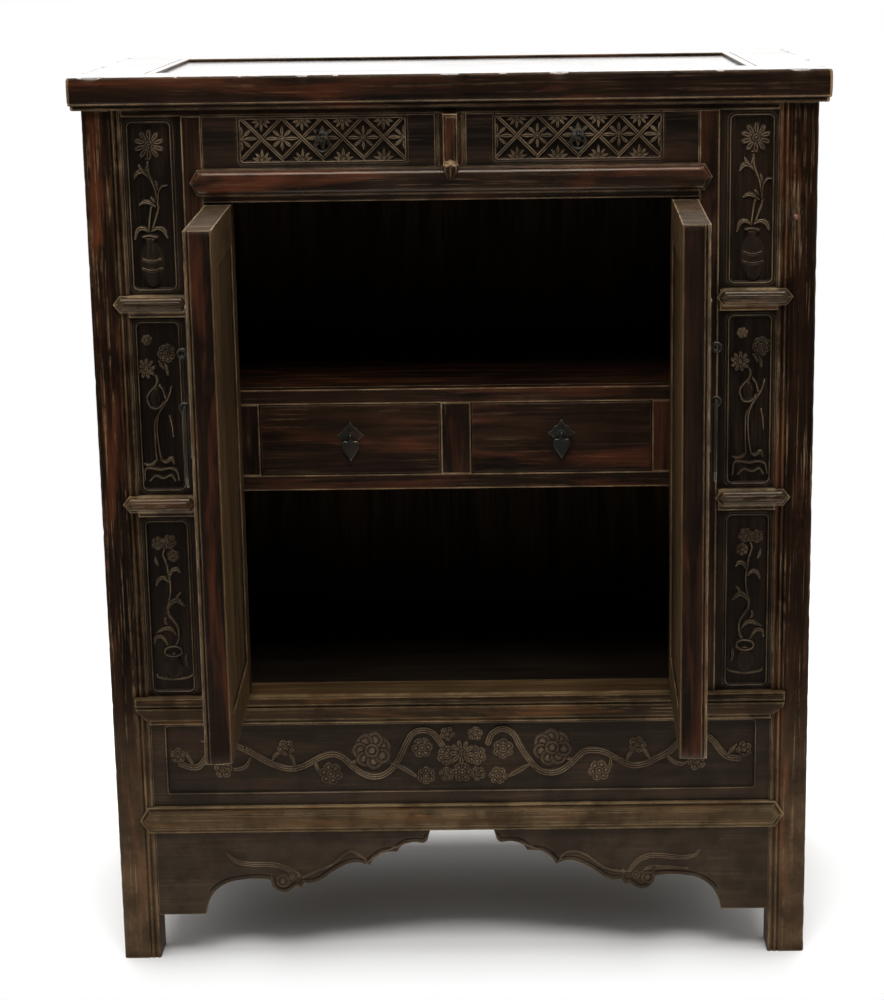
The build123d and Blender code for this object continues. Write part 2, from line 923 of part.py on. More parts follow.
def top_panel():
    x, y = top_opening()
    board = bar(within(x, joint_gap), within(y, joint_gap), top_panel_z())
    return board + bar(*top_tongue_box())


def batten_limits(place):
    x, y = top_opening()
    return (centred(place, batten_width), grown(y, batten_tenon), (body_height, top_panel_z()[0]))


def top_battens():
    return [bar(*batten_limits(place)) for place in (-batten_place, batten_place)]


# Doors, drawn closed on the right and then swung open on their pivots


def swung(piece):
    return piece.rotate(Axis((pivot_x, pivot_y, 0), (0, 0, 1)), door_open)


def door_panel_limits():
    x = (door_x[0] + door_stile, door_x[1] - door_stile)
    z = within(door_z, door_rail)
    return x, z


def door_tongue_box():
    x, z = door_panel_limits()
    middle = (door_panel_setback + door_thick - door_panel_inside_setback) / 2
    depth = deep(*centred(middle, door_tongue_thick))
    return (grown(x, door_tongue), depth, grown(z, door_tongue))


def door_tenons(z):
    x, _ = door_panel_limits()
    depth = deep((door_thick - door_tenon_thick) / 2, (door_thick + door_tenon_thick) / 2)
    height = within(z, door_tenon_shoulder)
    return [((x[0] - door_tenon, x[0]), depth, height), ((x[1], x[1] + door_tenon), depth, height)]


def door_rails_z():
    return [(door_z[0], door_z[0] + door_rail), (door_z[1] - door_rail, door_z[1])]


def door_stile_blank(x):
    stile = bar(x, deep(0, door_thick), door_z) - socket(*door_tongue_box())
    for z in door_rails_z():
        for tenon in door_tenons(z):
            stile -= socket(*tenon)
    return stile


def hinge_stile():
    x = (door_x[1] - door_stile, door_x[1])
    stile = door_stile_blank(x)
    corner = stile.edges().filter_by(Axis.Z).filter_by_position(Axis.X, x[1] - 0.1, x[1] + 0.1)
    stile = fillet(corner.sort_by(Axis.Y)[:1], pivot_edge - 0.05)
    top = rod_z(pivot_radius, pivot_x, pivot_y, (door_z[1] - 1, door_z[1] + pivot_top))
    foot = rod_z(pivot_radius, pivot_x, pivot_y, (door_z[0] - pivot_bottom, door_z[0] + 1))
    return stile + top + foot


def free_stile():
    stile = door_stile_blank((door_x[0], door_x[0] + door_stile))
    for z in door_eyes_z():
        stile -= rod_y(shank_radius + joint_gap, door_plate_x(), deep(-1, shank_length), z)
    return stile


def door_rails():
    x, _ = door_panel_limits()
    rails = []
    for z in door_rails_z():
        rail = bar(x, deep(0, door_thick), z) - socket(*door_tongue_box())
        for tenon in door_tenons(z):
            rail += bar(*tenon)
        rails.append(rail)
    return rails


def door_panel():
    x, z = door_panel_limits()
    depth = deep(door_panel_setback, door_thick - door_panel_inside_setback)
    return bar(x, depth, z) + bar(*door_tongue_box())


# Iron: an eye on a shank, and what hangs in it


def eye(x, face, z, radius, wire):
    # the eye stands off a face; its hole runs along X
    ring = Pos(x, face - radius - wire, z) * Rot(0, 90, 0) * Torus(radius, wire)
    shank = rod_y(shank_radius, x, (face - wire, face + shank_length - 1), z)
    return ring + shank


def pierced(plate, x, face, z, wire):
    return plate - rod_y(max(shank_radius, wire) + joint_gap, x, (face - 5, face + 5), z)


def eye_centre(face, radius, wire):
    return face - radius - wire


def door_plate_x():
    return door_x[0] + door_stile / 2


def door_eyes_z():
    low = door_plate_middle - door_eye_spacing / 2
    return (low, low + door_eye_spacing)


def door_plate():
    x = door_plate_x()
    face = front_y - plate_thick
    z = centred(door_plate_middle, door_plate_height)
    plate = bar(centred(x, door_plate_width), (face, front_y), z)
    plate = fillet(plate.edges().filter_by(Axis.Y), door_plate_round)
    eyes = []
    for height in door_eyes_z():
        plate = pierced(plate, x, face, height, shank_radius)
        eyes.append(eye(x, face, height, door_eye_radius, door_eye_wire))
    return [plate] + eyes


def hanging_pull(half_widths, x, y, z, thick, bar_radius, eye_radius, wire):
    # a flat pull under a round bar in the eye; half_widths go down from the bar
    right = [(half, -drop) for drop, half in half_widths]
    left = [(-half, -drop) for drop, half in half_widths if half > 0]
    outline = right + left[::-1]
    shape = upright([(x + px, z + pz) for px, pz in outline], centred(y, thick))
    room = wire + pull_bar_side
    slot_z = (z - eye_radius - room, z + bar_radius)
    shape -= bar(centred(x, 2 * room), grown(centred(y, thick), 1), slot_z)
    return shape + rod_x(bar_radius, centred(x, 2 * half_widths[0][1]), y, z)


def door_pull():
    y = eye_centre(front_y - plate_thick, door_eye_radius, door_eye_wire)
    half_widths = [
        (0, door_pull_neck),
        (door_pull_neck * 2, door_pull_neck),
        (door_pull_length * door_pull_waist_place, door_pull_waist),
        (door_pull_length * door_pull_belly_place, door_pull_width / 2),
        (door_pull_length * door_pull_shoulder_place, door_pull_shoulder),
        (door_pull_length, 0),
    ]
    return hanging_pull(
        half_widths,
        door_plate_x(),
        y,
        door_eyes_z()[0],
        door_pull_thick,
        door_pull_bar,
        door_eye_radius,
        door_eye_wire,
    )


# Drawers: x and z are the opening, face is the depth of the front


def drawer_front(x, face, z):
    front_x = within(x, slide_gap)
    front_z = (z[0] + rest_gap, z[1] - slide_gap)
    front = bar(front_x, (face, face + drawer_front_thick), front_z)
    for board in drawer_boards(x, face, z, 0):
        front -= socket(*board)
    return front


def drawer_boards(x, face, z, length):
    # limits of the two sides and the bottom, which tongue into the front
    outer = within(x, slide_gap + drawer_box_inset)
    start = face + drawer_front_thick - drawer_tongue
    y = (start, face + max(length, drawer_front_thick + 1))
    height = (z[0] + rest_gap, z[1] - drawer_box_drop)
    left = ((outer[0], outer[0] + drawer_side), y, height)
    right = ((outer[1] - drawer_side, outer[1]), y, height)
    low = z[0] + rest_gap + drawer_bottom_rise
    floor = (within(outer, drawer_side - drawer_tongue), y, (low, low + drawer_bottom))
    return [left, right, floor]


def drawer_box(x, face, z, length):
    left, right, floor = drawer_boards(x, face, z, length)
    sides = [bar(*left) - socket(*floor), bar(*right) - socket(*floor)]
    end = (face + length - drawer_side, face + length)
    back_x = (left[0][1], right[0][0])
    back = bar(back_x, end, (floor[2][1], left[2][1]))
    return sides + [bar(*floor), back]


def drawer_shank_hole(front, x, face, z):
    return front - rod_y(shank_radius + joint_gap, x, (face - 1, face + shank_length), z)


def ring_eye_radius(wire):
    # the eye's hole leaves a small clearance round what hangs in it
    return wire + eye_clear + small_eye_wire


def upper_drawer():
    x = (divider_width / 2, half_opening)
    face = upper_drawer_face
    mid = sum(x) / 2 - ring_shift
    front = drawer_shank_hole(drawer_front(x, face, upper_z), mid, face, ring_height)
    box = drawer_box(x, face, upper_z, upper_drawer_length)
    plate_face = face - plate_thick
    rosette = rod_y(rosette_radius, mid, (plate_face, face), ring_height)
    rosette = pierced(rosette, mid, plate_face, ring_height, shank_radius)
    radius = ring_eye_radius(ring_wire)
    pin = eye(mid, plate_face, ring_height, radius, small_eye_wire)
    y = eye_centre(plate_face, radius, small_eye_wire)
    ring = Pos(mid, y, ring_height - ring_radius) * Rot(90, 0, 0) * Torus(ring_radius, ring_wire)
    return front, box, [rosette, pin], ring


def inner_drawer():
    x = (inner_divider / 2, jamb_x[0])
    face = inner_drawer_face
    mid = sum(x) / 2
    front = drawer_shank_hole(drawer_front(x, face, inner_drawer_z), mid, face, drop_height)
    box = drawer_box(x, face, inner_drawer_z, inner_drawer_length)
    plate_face = face - plate_thick
    diamond = []
    for px, pz in ((0, 1), (1, 0), (0, -1), (-1, 0)):
        diamond.append((mid + px * lozenge, drop_height + pz * lozenge))
        turn = (px + pz, pz - px)
        waist = lozenge_waist
        diamond.append((mid + turn[0] * waist, drop_height + turn[1] * waist))
    plate = pierced(upright(diamond, (plate_face, face)), mid, plate_face, drop_height, shank_radius)
    radius = ring_eye_radius(drop_bar)
    pin = eye(mid, plate_face, drop_height, radius, small_eye_wire)
    half_widths = [
        (0, drop_neck),
        (drop_length * drop_wide_place, drop_width / 2),
        (drop_length * drop_cheek_place, drop_cheek),
        (drop_length * drop_lip_place, drop_lip),
        (drop_length, 0),
    ]
    y = eye_centre(plate_face, radius, small_eye_wire)
    pull = hanging_pull(
        half_widths, mid, y, drop_height, drop_thick, drop_bar, radius, small_eye_wire
    )
    return front, box, [plate, pin], pull


# Write every node


def save_pair(name, *pieces):
    # the right-hand piece and its mirror image
    save(f"right_{name}", *pieces)
    save(f"left_{name}", *[other_side(piece) for piece in pieces])


def save_case():
    post = front_post()
    save("front_right_post", post)
    save("front_left_post", other_side(post))
    post = rear_post()
    save("rear_right_post", post)
    save("rear_left_post", other_side(post))
    save_pair("door_post", door_post())
    save("front_top_rail", front_top_rail())
    save("drawer_rail", drawer_rail())
    save("sill_rail", sill_rail())
    save("base_rail", base_rail())
    save("drawer_divider", drawer_divider())
    rails = [short_rail(middle) for middle in short_rails]
    save("short_panel_rails", *rails, *[other_side(piece) for piece in rails])
    save_pair("carved_panels", *[carved_panel(z) for z in carved_z])
    save("lower_carved_panel", lower_carved_panel())
    save_pair("apron", apron())
    save_pair("side_rails", *side_rails())
    save_pair("side_panels", *side_panels())
    save("back_rails", *back_rails())
    save("back_panels", *back_panels())


def save_inside():
    save("compartment_floor", compartment_floor())
    save("bottom_board", bottom_board())
    save("shelf_board", shelf_board())
    save("inner_drawer_rails", *inner_drawer_rails())
    save("inner_drawer_stiles", *inner_drawer_stiles())
    save("runners_and_cleats", *drawer_runners(), *shelf_cleats())


def save_top():
    save("top_frame", *top_frame())
    save("top_panel", top_panel())
    save("top_battens", *top_battens())


def save_doors():
    save_pair("door_hinge_stile", swung(hinge_stile()))
    save_pair("door_free_stile", swung(free_stile()))
    save_pair("door_rails", *[swung(rail) for rail in door_rails()])
    save_pair("door_panel", swung(door_panel()))
    save_pair("door_plate", *[swung(piece) for piece in door_plate()])
    save_pair("door_pull", swung(door_pull()))


def save_drawers():
    for name, made in (("upper_drawer", upper_drawer()), ("inner_drawer", inner_drawer())):
        front, box, fitting, pull = made
        save_pair(f"{name}_front", front)
        save_pair(f"{name}_box", *box)
        save_pair(f"{name}_fitting", *fitting)
        save_pair(f"{name}_pull", pull)


save_case()
save_inside()
save_top()
save_doors()
save_drawers()
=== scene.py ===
import json
import math

import bmesh
import bpy
import numpy as np
from mathutils import Matrix, Vector, noise


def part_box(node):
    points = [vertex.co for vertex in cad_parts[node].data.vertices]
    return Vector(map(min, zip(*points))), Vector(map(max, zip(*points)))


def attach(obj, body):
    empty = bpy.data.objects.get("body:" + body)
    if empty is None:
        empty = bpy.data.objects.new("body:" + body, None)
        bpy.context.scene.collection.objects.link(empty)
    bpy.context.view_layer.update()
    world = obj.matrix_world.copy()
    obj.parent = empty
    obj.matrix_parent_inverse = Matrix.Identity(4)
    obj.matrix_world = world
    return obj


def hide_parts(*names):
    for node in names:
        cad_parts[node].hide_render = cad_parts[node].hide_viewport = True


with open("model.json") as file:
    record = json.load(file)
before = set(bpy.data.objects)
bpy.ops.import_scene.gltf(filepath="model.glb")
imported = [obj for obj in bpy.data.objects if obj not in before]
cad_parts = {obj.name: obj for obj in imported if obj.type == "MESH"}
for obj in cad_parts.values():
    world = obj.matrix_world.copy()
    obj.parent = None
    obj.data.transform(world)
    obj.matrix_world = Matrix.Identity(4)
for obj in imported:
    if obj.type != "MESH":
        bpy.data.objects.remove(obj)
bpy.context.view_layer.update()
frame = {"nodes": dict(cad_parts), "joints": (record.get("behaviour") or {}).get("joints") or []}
nodes = frame["nodes"]
mm = 0.001
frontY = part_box("front_left_post")[0][1]  # plane of the front posts' faces
hinges = {j["name"]: j for j in frame["joints"]}
print("stage: frame loaded,", len(nodes), "nodes")


def fillIn(tree, node, inputs):
    # each input takes a number, a colour of three parts, or a link from another node's output
    for name, value in inputs.items():
        socket = node.inputs[name]
        if isinstance(value, bpy.types.NodeSocket):
            tree.links.new(value, socket)
        else:
            socket.default_value = (*value, 1) if socket.type == "RGBA" else value


def addNode(tree, kind, inputs=None, **settings):
    # nodes are laid out in rows of eight, in the order they come
    made = tree.nodes.new("ShaderNode" + kind)
    count = len(tree.nodes)
    made.location = (220 * (count % 8), -320 * (count // 8))
    for name, value in settings.items():
        setattr(made, name, value)
    fillIn(tree, made, inputs or {})
    return made


def calc(tree, operation, first, second, clamp=False):
    return addNode(tree, "Math", {0: first, 1: second}, operation=operation, use_clamp=clamp).outputs[0]


def times(tree, first, second):
    return calc(tree, "MULTIPLY", first, second)


def greater(tree, first, second):
    return calc(tree, "MAXIMUM", first, second)


def mixed(tree, share, first, second):
    return addNode(tree, "Mix", {0: share, 6: first, 7: second}, data_type="RGBA").outputs[2]


def ramp(tree, source, low, high, lowValue=0.0, highValue=1.0):
    return addNode(tree, "MapRange", {"Value": source, "From Min": low, "From Max": high, "To Min": lowValue,
                                      "To Max": highValue}).outputs[0]


def noiseOf(tree, vector, scale, detail=3.0, rough=0.55, distortion=0.0):
    return addNode(tree, "TexNoise", {"Vector": vector, "Scale": scale, "Detail": detail, "Roughness": rough,
                                      "Distortion": distortion}).outputs[0]


def newSurface(name):
    made = bpy.data.materials.new(name)
    made.use_nodes = True
    return made, made.node_tree, made.node_tree.nodes["Principled BSDF"]


def makeGroup(name, inputs, outputs):
    group = bpy.data.node_groups.new(name, "ShaderNodeTree")
    for way, sockets in (("INPUT", inputs), ("OUTPUT", outputs)):
        for socketName in sockets:
            kind = "NodeSocketVector" if socketName == "Vector" else "NodeSocketFloat"
            group.interface.new_socket(socketName, in_out=way, socket_type=kind)
    return group, group.nodes.new("NodeGroupInput"), group.nodes.new("NodeGroupOutput")


grainLayers = {
    # stretch along and across the grain, offset, detail, roughness, distortion, and the noise range kept
    "Fibre": ((9, 300, 300), (0, 0, 0), 4.0, 0.65, 0.0, 0.34, 0.66),
    "Figure": ((2.6, 52, 52), (0, 0, 0), 5.0, 0.62, 0.8, 0.36, 0.64),
    "Streak": ((8, 380, 380), (3.1, 1.7, 5.2), 4.0, 0.6, 0.3, 0.55, 0.67),
    "Ember": ((5, 34, 34), (1.3, 6.1, 2.4), 5.0, 0.6, 0.6, 0.52, 0.66),
}


def makeGrainGroup():
    # Vector has the grain already laid along its first axis
    group, start, end = makeGroup("woodGrain", ["Vector"], [*grainLayers, "Blotch"])
    made = {}
    for name, (stretch, shift, detail, rough, distortion, low, high) in grainLayers.items():
        laid = addNode(group, "Mapping", {"Vector": start.outputs[0], "Scale": stretch, "Location": shift})
        made[name] = ramp(group, noiseOf(group, laid.outputs[0], 1.0, detail, rough, distortion), low, high)
    made["Blotch"] = ramp(group, noiseOf(group, start.outputs[0], 7.0, 4.0, 0.6), 0.36, 0.64)
    fillIn(group, end, made)
    return group


def makeWearAndShadeGroup():
    # Edge is where arrises are rubbed through and painted with a highlight; Hollow is painted shade, in hollows and
    # where other parts come near
    group, start, end = makeGroup("edgeWearAndShade", ["Vector", "Reach", "Depth"], ["Edge", "Hollow", "Patch"])
    inner = addNode(group, "AmbientOcclusion", {"Distance": start.outputs["Reach"]}, samples=2, inside=True,
                    only_local=True)
    # outer occlusion, from this part and its neighbours, darkens the colour as painted shade
    outer = addNode(group, "AmbientOcclusion", {"Distance": start.outputs["Depth"]}, samples=2)
    edge = ramp(group, inner.outputs["AO"], 0.9, 0.5)
    patches = ramp(group, noiseOf(group, start.outputs["Vector"], 24.0, 5.0, 0.65), 0.4, 0.6)
    kept = ramp(group, patches, 0, 1, 0.35, 1.0)
    fillIn(group, end, {"Edge": calc(group, "MULTIPLY", edge, kept, True),
                        "Hollow": ramp(group, outer.outputs["AO"], 0.95, 0.35), "Patch": patches})
    return group


def makeHeightGroup():
    # Low is the part near the floor, painted lighter as light from the floor; High and Ground come from a carved
    # board's own heights, for a painted highlight on the tops and painted shade on the sunk ground
    group, start, end = makeGroup("heightWearLightAndShade", ["Vector"], ["Low", "High", "Ground"])
    split = addNode(group, "SeparateXYZ", {0: start.outputs[0]})
    relief = addNode(group, "Attribute", attribute_name="relief").outputs["Fac"]
    fillIn(group, end, {"Low": ramp(group, split.outputs["Z"], 0.36, 0.14), "High": ramp(group, relief, 0.3, 0.95),
                        "Ground": ramp(group, relief, -0.1, -0.9)})
    return group


grainGroup = makeGrainGroup()
wearAndShadeGroup = makeWearAndShadeGroup()
heightGroup = makeHeightGroup()
grainTurns = {"x": (0, 0, 0), "y": (0, 0, -math.pi / 2), "z": (0, math.pi / 2, 0)}


def tinted(colour, share):
    return tuple(share * part for part in colour)


def woodFinish(name, along, colours, reach=2.2, depth=12.0, gloss=0.4, dull=0.62, streak=0.5, rubAndHighlight=1.0, scuff=0.25,
               hollowShade=0.7, grainDepth=0.08, coat=0.0, shine=0.15, dustAndFloorLight=0.6, glow=0.6, tops=0.85):
    dark, warm, ember, worn, bright = colours
    made, tree, surface = newSurface(name)
    where = addNode(tree, "TexCoord").outputs["Object"]
    turn = addNode(tree, "Mapping", {"Vector": where, "Rotation": grainTurns[along]})
    grain = addNode(tree, "Group", {"Vector": turn.outputs[0]}, node_tree=grainGroup).outputs
    wear = addNode(tree, "Group", {"Vector": where, "Reach": reach * mm, "Depth": depth * mm},
                   node_tree=wearAndShadeGroup).outputs
    height = addNode(tree, "Group", {"Vector": where}, node_tree=heightGroup).outputs
    base = mixed(tree, times(tree, grain["Figure"], ramp(tree, grain["Blotch"], 0, 1, 0.35, 1)), dark, warm)
    base = mixed(tree, times(tree, grain["Ember"], glow), base, ember)
    base = mixed(tree, times(tree, grain["Fibre"], streak), base, tinted(dark, 0.3))
    # near the floor the lacquer is painted lighter: dust and scuffs, and painted light bounced from the white floor
    low = times(tree, times(tree, height["Low"], dustAndFloorLight), ramp(tree, wear["Patch"], 0, 1, 0.45, 1.0))
    base = mixed(tree, low, base, tinted(worn, 0.5))
    # on the relief's tops a painted highlight, with the lacquer worn through there, and here and there worn through
    # in streaks along the grain
    scuffed = times(tree, times(tree, grain["Streak"], wear["Patch"]), scuff)
    high = times(tree, height["High"], ramp(tree, wear["Patch"], 0, 1, 0.4 * tops, tops))
    gone = times(tree, greater(tree, scuffed, high), ramp(tree, grain["Fibre"], 0, 1, 1, 0.5))
    base = mixed(tree, gone, base, worn)
    # arrises painted pale: rubbed through, and a painted highlight
    rubbedAndHighlight = calc(tree, "MULTIPLY", wear["Edge"], rubAndHighlight, True)
    base = mixed(tree, rubbedAndHighlight, base, bright)
    # painted shade: darker in hollows, near other parts and on the carvings' sunk ground
    paintedShade = greater(tree, times(tree, wear["Hollow"], hollowShade), times(tree, height["Ground"], 0.6))
    base = mixed(tree, paintedShade, base, tinted(dark, 0.25))
    kept = ramp(tree, grain["Blotch"], 0, 1, gloss, gloss + 0.12)
    flat = addNode(tree, "Mix", {0: greater(tree, gone, rubbedAndHighlight), 2: kept, 3: dull}, data_type="FLOAT")
    ridges = calc(tree, "ADD", grain["Fibre"], times(tree, grain["Figure"], 0.6))
    bump = addNode(tree, "Bump", {"Height": ridges, "Strength": 1.0, "Distance": grainDepth * mm})
    fillIn(tree, surface, {
        "Base Color": base, "Roughness": flat.outputs[0], "Normal": bump.outputs[0], "Specular IOR Level": shine,
        "Specular Tint": (1.0, 0.82, 0.66), "Coat Weight": coat, "Coat Roughness": 0.12, "Coat IOR": 1.8})
    return made


iron = {"dark": (0.03, 0.032, 0.028), "rust": (0.055, 0.03, 0.016), "edge": (0.22, 0.2, 0.16), "metal": 0.85,
        "gloss": (0.35, 0.6), "reach": 1.2, "depth": 6.0, "scaleDepth": 0.12}


def ironFinish():
    made, tree, surface = newSurface("forgedIron")
    where = addNode(tree, "TexCoord").outputs["Object"]
    wear = addNode(tree, "Group", {"Vector": where, "Reach": iron["reach"] * mm, "Depth": iron["depth"] * mm},
                   node_tree=wearAndShadeGroup).outputs
    scale = noiseOf(tree, where, 180.0, 4.0, 0.65)
    rust = ramp(tree, noiseOf(tree, where, 60.0, 4.0, 0.6), 0.45, 0.7)
    base = mixed(tree, wear["Edge"], mixed(tree, rust, iron["dark"], iron["rust"]), iron["edge"])
    bump = addNode(tree, "Bump", {"Height": scale, "Strength": 1.0, "Distance": iron["scaleDepth"] * mm})
    fillIn(tree, surface, {"Base Color": base, "Roughness": ramp(tree, scale, 0.3, 0.7, *iron["gloss"]),
                           "Metallic": iron["metal"], "Normal": bump.outputs[0]})
    return made


wax = {"dark": (0.13, 0.045, 0.035), "pale": (0.27, 0.115, 0.095), "gloss": 0.45, "cloud": 700.0}


def waxFinish():
    made, tree, surface = newSurface("candleWax")
    cloudy = noiseOf(tree, addNode(tree, "TexCoord").outputs["Object"], wax["cloud"])
    fillIn(tree, surface, {"Base Color": mixed(tree, cloudy, wax["dark"], wax["pale"]), "Roughness": wax["gloss"]})
    return made


finishColours = {
    # dark, warm, ember, worn and bright
    "lacquer": ((0.0045, 0.0022, 0.0014), (0.034, 0.0135, 0.006), (0.085, 0.022, 0.008), (0.19, 0.115, 0.058),
                (0.3, 0.195, 0.105)),
    "band": ((0.005, 0.0026, 0.0016), (0.042, 0.0215, 0.0088), (0.09, 0.036, 0.0105), (0.24, 0.155, 0.078),
             (0.36, 0.25, 0.13)),
    "door": ((0.0038, 0.0018, 0.0012), (0.0195, 0.0076, 0.0035), (0.06, 0.0145, 0.0052), (0.12, 0.07, 0.035),
             (0.34, 0.235, 0.135)),
    "post": ((0.0045, 0.0021, 0.0013), (0.036, 0.0142, 0.006), (0.095, 0.026, 0.0095), (0.262, 0.16, 0.082),
             (0.36, 0.24, 0.13)),
    "carved": ((0.0058, 0.0036, 0.0025), (0.026, 0.0145, 0.0085), (0.045, 0.02, 0.0105), (0.2, 0.14, 0.085),
               (0.3, 0.21, 0.125)),
    "raw": ((0.032, 0.017, 0.0062), (0.11, 0.064, 0.026), (0.12, 0.055, 0.02), (0.17, 0.11, 0.052),
            (0.25, 0.165, 0.08)),
    "old": ((0.018, 0.0105, 0.0048), (0.055, 0.034, 0.017), (0.06, 0.032, 0.015), (0.1, 0.066, 0.036),
            (0.14, 0.095, 0.055)),
    "shade": ((0.004, 0.0024, 0.0013), (0.013, 0.0078, 0.0042), (0.014, 0.007, 0.0035), (0.03, 0.02, 0.011),
              (0.05, 0.035, 0.02)),
    "ends": ((0.02, 0.012, 0.006), (0.055, 0.034, 0.017), (0.06, 0.03, 0.014), (0.13, 0.085, 0.045),
             (0.26, 0.18, 0.1)),
}
# the carvings get stronger painted shade in their hollows
carvedWearAndShade = dict(reach=1.3, depth=9, hollowShade=0.9, scuff=0.15)
oldWear = dict(gloss=0.65, dull=0.75, grainDepth=0.2)
woodKinds = {
    # name, the ways the grain runs, colours, settings
    "lacquer": ("lacqueredWood", "xyz", "lacquer", {}),
    "rail": ("polishedRail", "x", "lacquer", dict(gloss=0.24, shine=0.5, glow=1.1, scuff=0.42)),
    "short": ("shortRail", "x", "band", dict(gloss=0.24, shine=0.5, glow=1.2, scuff=0.5)),
    "band": ("rubbedRail", "x", "band", dict(gloss=0.42, shine=0.08, glow=1.2, scuff=0.5, streak=0.6)),
    "polished": ("polishedWood", "x", "lacquer", dict(gloss=0.16, dull=0.3, shine=0.45, coat=0.62, grainDepth=0.02)),
    "broadCarved": ("carvedWood", "x", "carved", dict(**carvedWearAndShade, dustAndFloorLight=0.3, tops=0.5)),
    "tallCarved": ("carvedWood", "z", "carved", dict(**carvedWearAndShade, dustAndFloorLight=0.3, tops=0.27)),
    "diaper": ("diaperWood", "x", "carved", dict(**carvedWearAndShade, tops=0.9)),
    "raw": ("rawWood", "xz", "raw", dict(gloss=0.6, dull=0.7, rubAndHighlight=0.5, grainDepth=0.15, glow=0.3)),
    "old": ("oldWood", "xyz", "old", dict(**oldWear, rubAndHighlight=0.4, dustAndFloorLight=0.1)),
    "shade": ("shadedWood", "x", "shade", dict(**oldWear, rubAndHighlight=0.3, dustAndFloorLight=0.0)),
    "door": ("doorWood", "z", "door", dict(scuff=0.12, rubAndHighlight=1.3, glow=0.8)),
    "post": ("postWood", "z", "post", dict(scuff=0.8, glow=0.95, shine=0.1, dustAndFloorLight=0.6, streak=0.6)),
    "ends": ("sawnEnds", "z", "ends", dict(gloss=0.6, grainDepth=0.2)),
}
finishes = {"iron": ironFinish(), "wax": waxFinish()}
for kind, (name, ways, colours, settings) in woodKinds.items():
    for axis in ways:
        finishes[kind + axis.upper()] = woodFinish(name + axis.upper(), axis, finishColours[colours], **settings)
print("stage: finishes made")

hingePins = {side: hinges[side + "_door_hinge"]["pos_m"] for side in ("left", "right")}
openTurn = math.radians(88.6)


def meshObject(name, bm):
    mesh = bpy.data.meshes.new(name)
    bm.to_mesh(mesh)
    bm.free()
    made = bpy.data.objects.new(name, mesh)
    bpy.context.scene.collection.objects.link(made)
    return made


def finishPiece(bm, name, body, finish, replaced=(), mirrored=False, openDoor=None,
                sharp=38.0):
    # pieces are drawn in mm: across, back from the front plane, up
    if mirrored:
        bmesh.ops.scale(bm, vec=(-1, 1, 1), verts=bm.verts)
        bmesh.ops.reverse_faces(bm, faces=bm.faces)
    bmesh.ops.scale(bm, vec=(mm, mm, mm), verts=bm.verts)
    bmesh.ops.translate(bm, vec=(0, frontY, 0), verts=bm.verts)
    if openDoor:
        turn = Matrix.Rotation(-openTurn if openDoor == "left" else openTurn, 3, "Z")
        bmesh.ops.rotate(bm, cent=hingePins[openDoor], matrix=turn, verts=bm.verts)
    bmesh.ops.recalc_face_normals(bm, faces=bm.faces)
    for face in bm.faces:
        face.smooth = True
    for edge in bm.edges:
        edge.smooth = edge.calc_face_angle(0.0) < math.radians(sharp)
    piece = meshObject(name, bm)
    for one in finish.split():
        piece.data.materials.append(finishes[one])
    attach(piece, body)
    if replaced:
        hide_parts(*replaced)


def extrudeBy(bm, face, shift):
    # the face stays behind as the other end
    grown = bmesh.ops.extrude_face_region(bm, geom=[face], use_keep_orig=True)["geom"]
    bmesh.ops.translate(bm, vec=shift, verts=[g for g in grown if isinstance(g, bmesh.types.BMVert)])
    return [g for g in grown if isinstance(g, bmesh.types.BMFace)][0]


def prism(bm, section, low, high):
    # upright, from points (across, back)
    foot = bm.faces.new([bm.verts.new((x, depth, low)) for x, depth in section])
    extrudeBy(bm, foot, (0, 0, high - low))


def outlineFace(bm, outline, depth):
    # a face in the front's plane, looking forward
    face = bm.faces.new([bm.verts.new((x, depth, z)) for x, z in outline])
    face.normal_update()
    if face.normal.y > 0:
        face.normal_flip()
    return face


def rectangle(xLow, xHigh, zLow, zHigh):
    return [(xLow, zLow), (xHigh, zLow), (xHigh, zHigh), (xLow, zHigh)]


def addBlock(bm, x, depth, z):
    # plain wood; inside the mouldings it is their core
    extrudeBy(bm, outlineFace(bm, rectangle(*x, *z), depth[0]), (0, depth[1] - depth[0], 0))


def mouldedSlab(bm, outline, back, front, profile):
    # the outline runs from back to front, then steps in and out by the profile's (inset, rise)
    top = extrudeBy(bm, outlineFace(bm, outline, back), (0, front - back, 0))
    bm.normal_update()
    for inset, rise in profile:
        if top.normal.y > 0:
            rise = -rise
        bmesh.ops.inset_region(bm, faces=[top], thickness=inset, depth=0.0, use_even_offset=True)
        bmesh.ops.translate(bm, vec=(0, -rise, 0), verts=top.verts)


def pointedBar(xLow, xHigh, zLow, zHigh, point):
    middle = (zLow + zHigh) / 2
    return [(xHigh - point, zHigh), (xHigh, middle), (xHigh - point, zLow),
            (xLow + point, zLow), (xLow, middle), (xLow + point, zHigh)]


def torusProfile(width, height, steps=6):
    # quarter of an ellipse as (inset, rise) steps
    made = []
    previous = (0.0, 0.0)
    for index in range(1, steps + 1):
        angle = index / steps * math.pi / 2
        now = (width * (1 - math.cos(angle)), height * math.sin(angle))
        made.append((now[0] - previous[0], now[1] - previous[1]))
        previous = now
    return made


def circlePoints(centre, count, radiusAt):
    made = []
    for index in range(count):
        angle = index / count * 2 * math.pi
        radius = radiusAt(angle)
        made.append((centre[0] + radius * math.cos(angle), centre[1] + radius * math.sin(angle)))
    return made


def cutAlong(bm, axis, places):
    for place in places:
        point = [0, 0, 0]
        point[axis] = place
        normal = [0, 0, 0]
        normal[axis] = 1
        bmesh.ops.bisect_plane(bm, geom=bm.verts[:] + bm.edges[:] + bm.faces[:], plane_co=point, plane_no=normal)


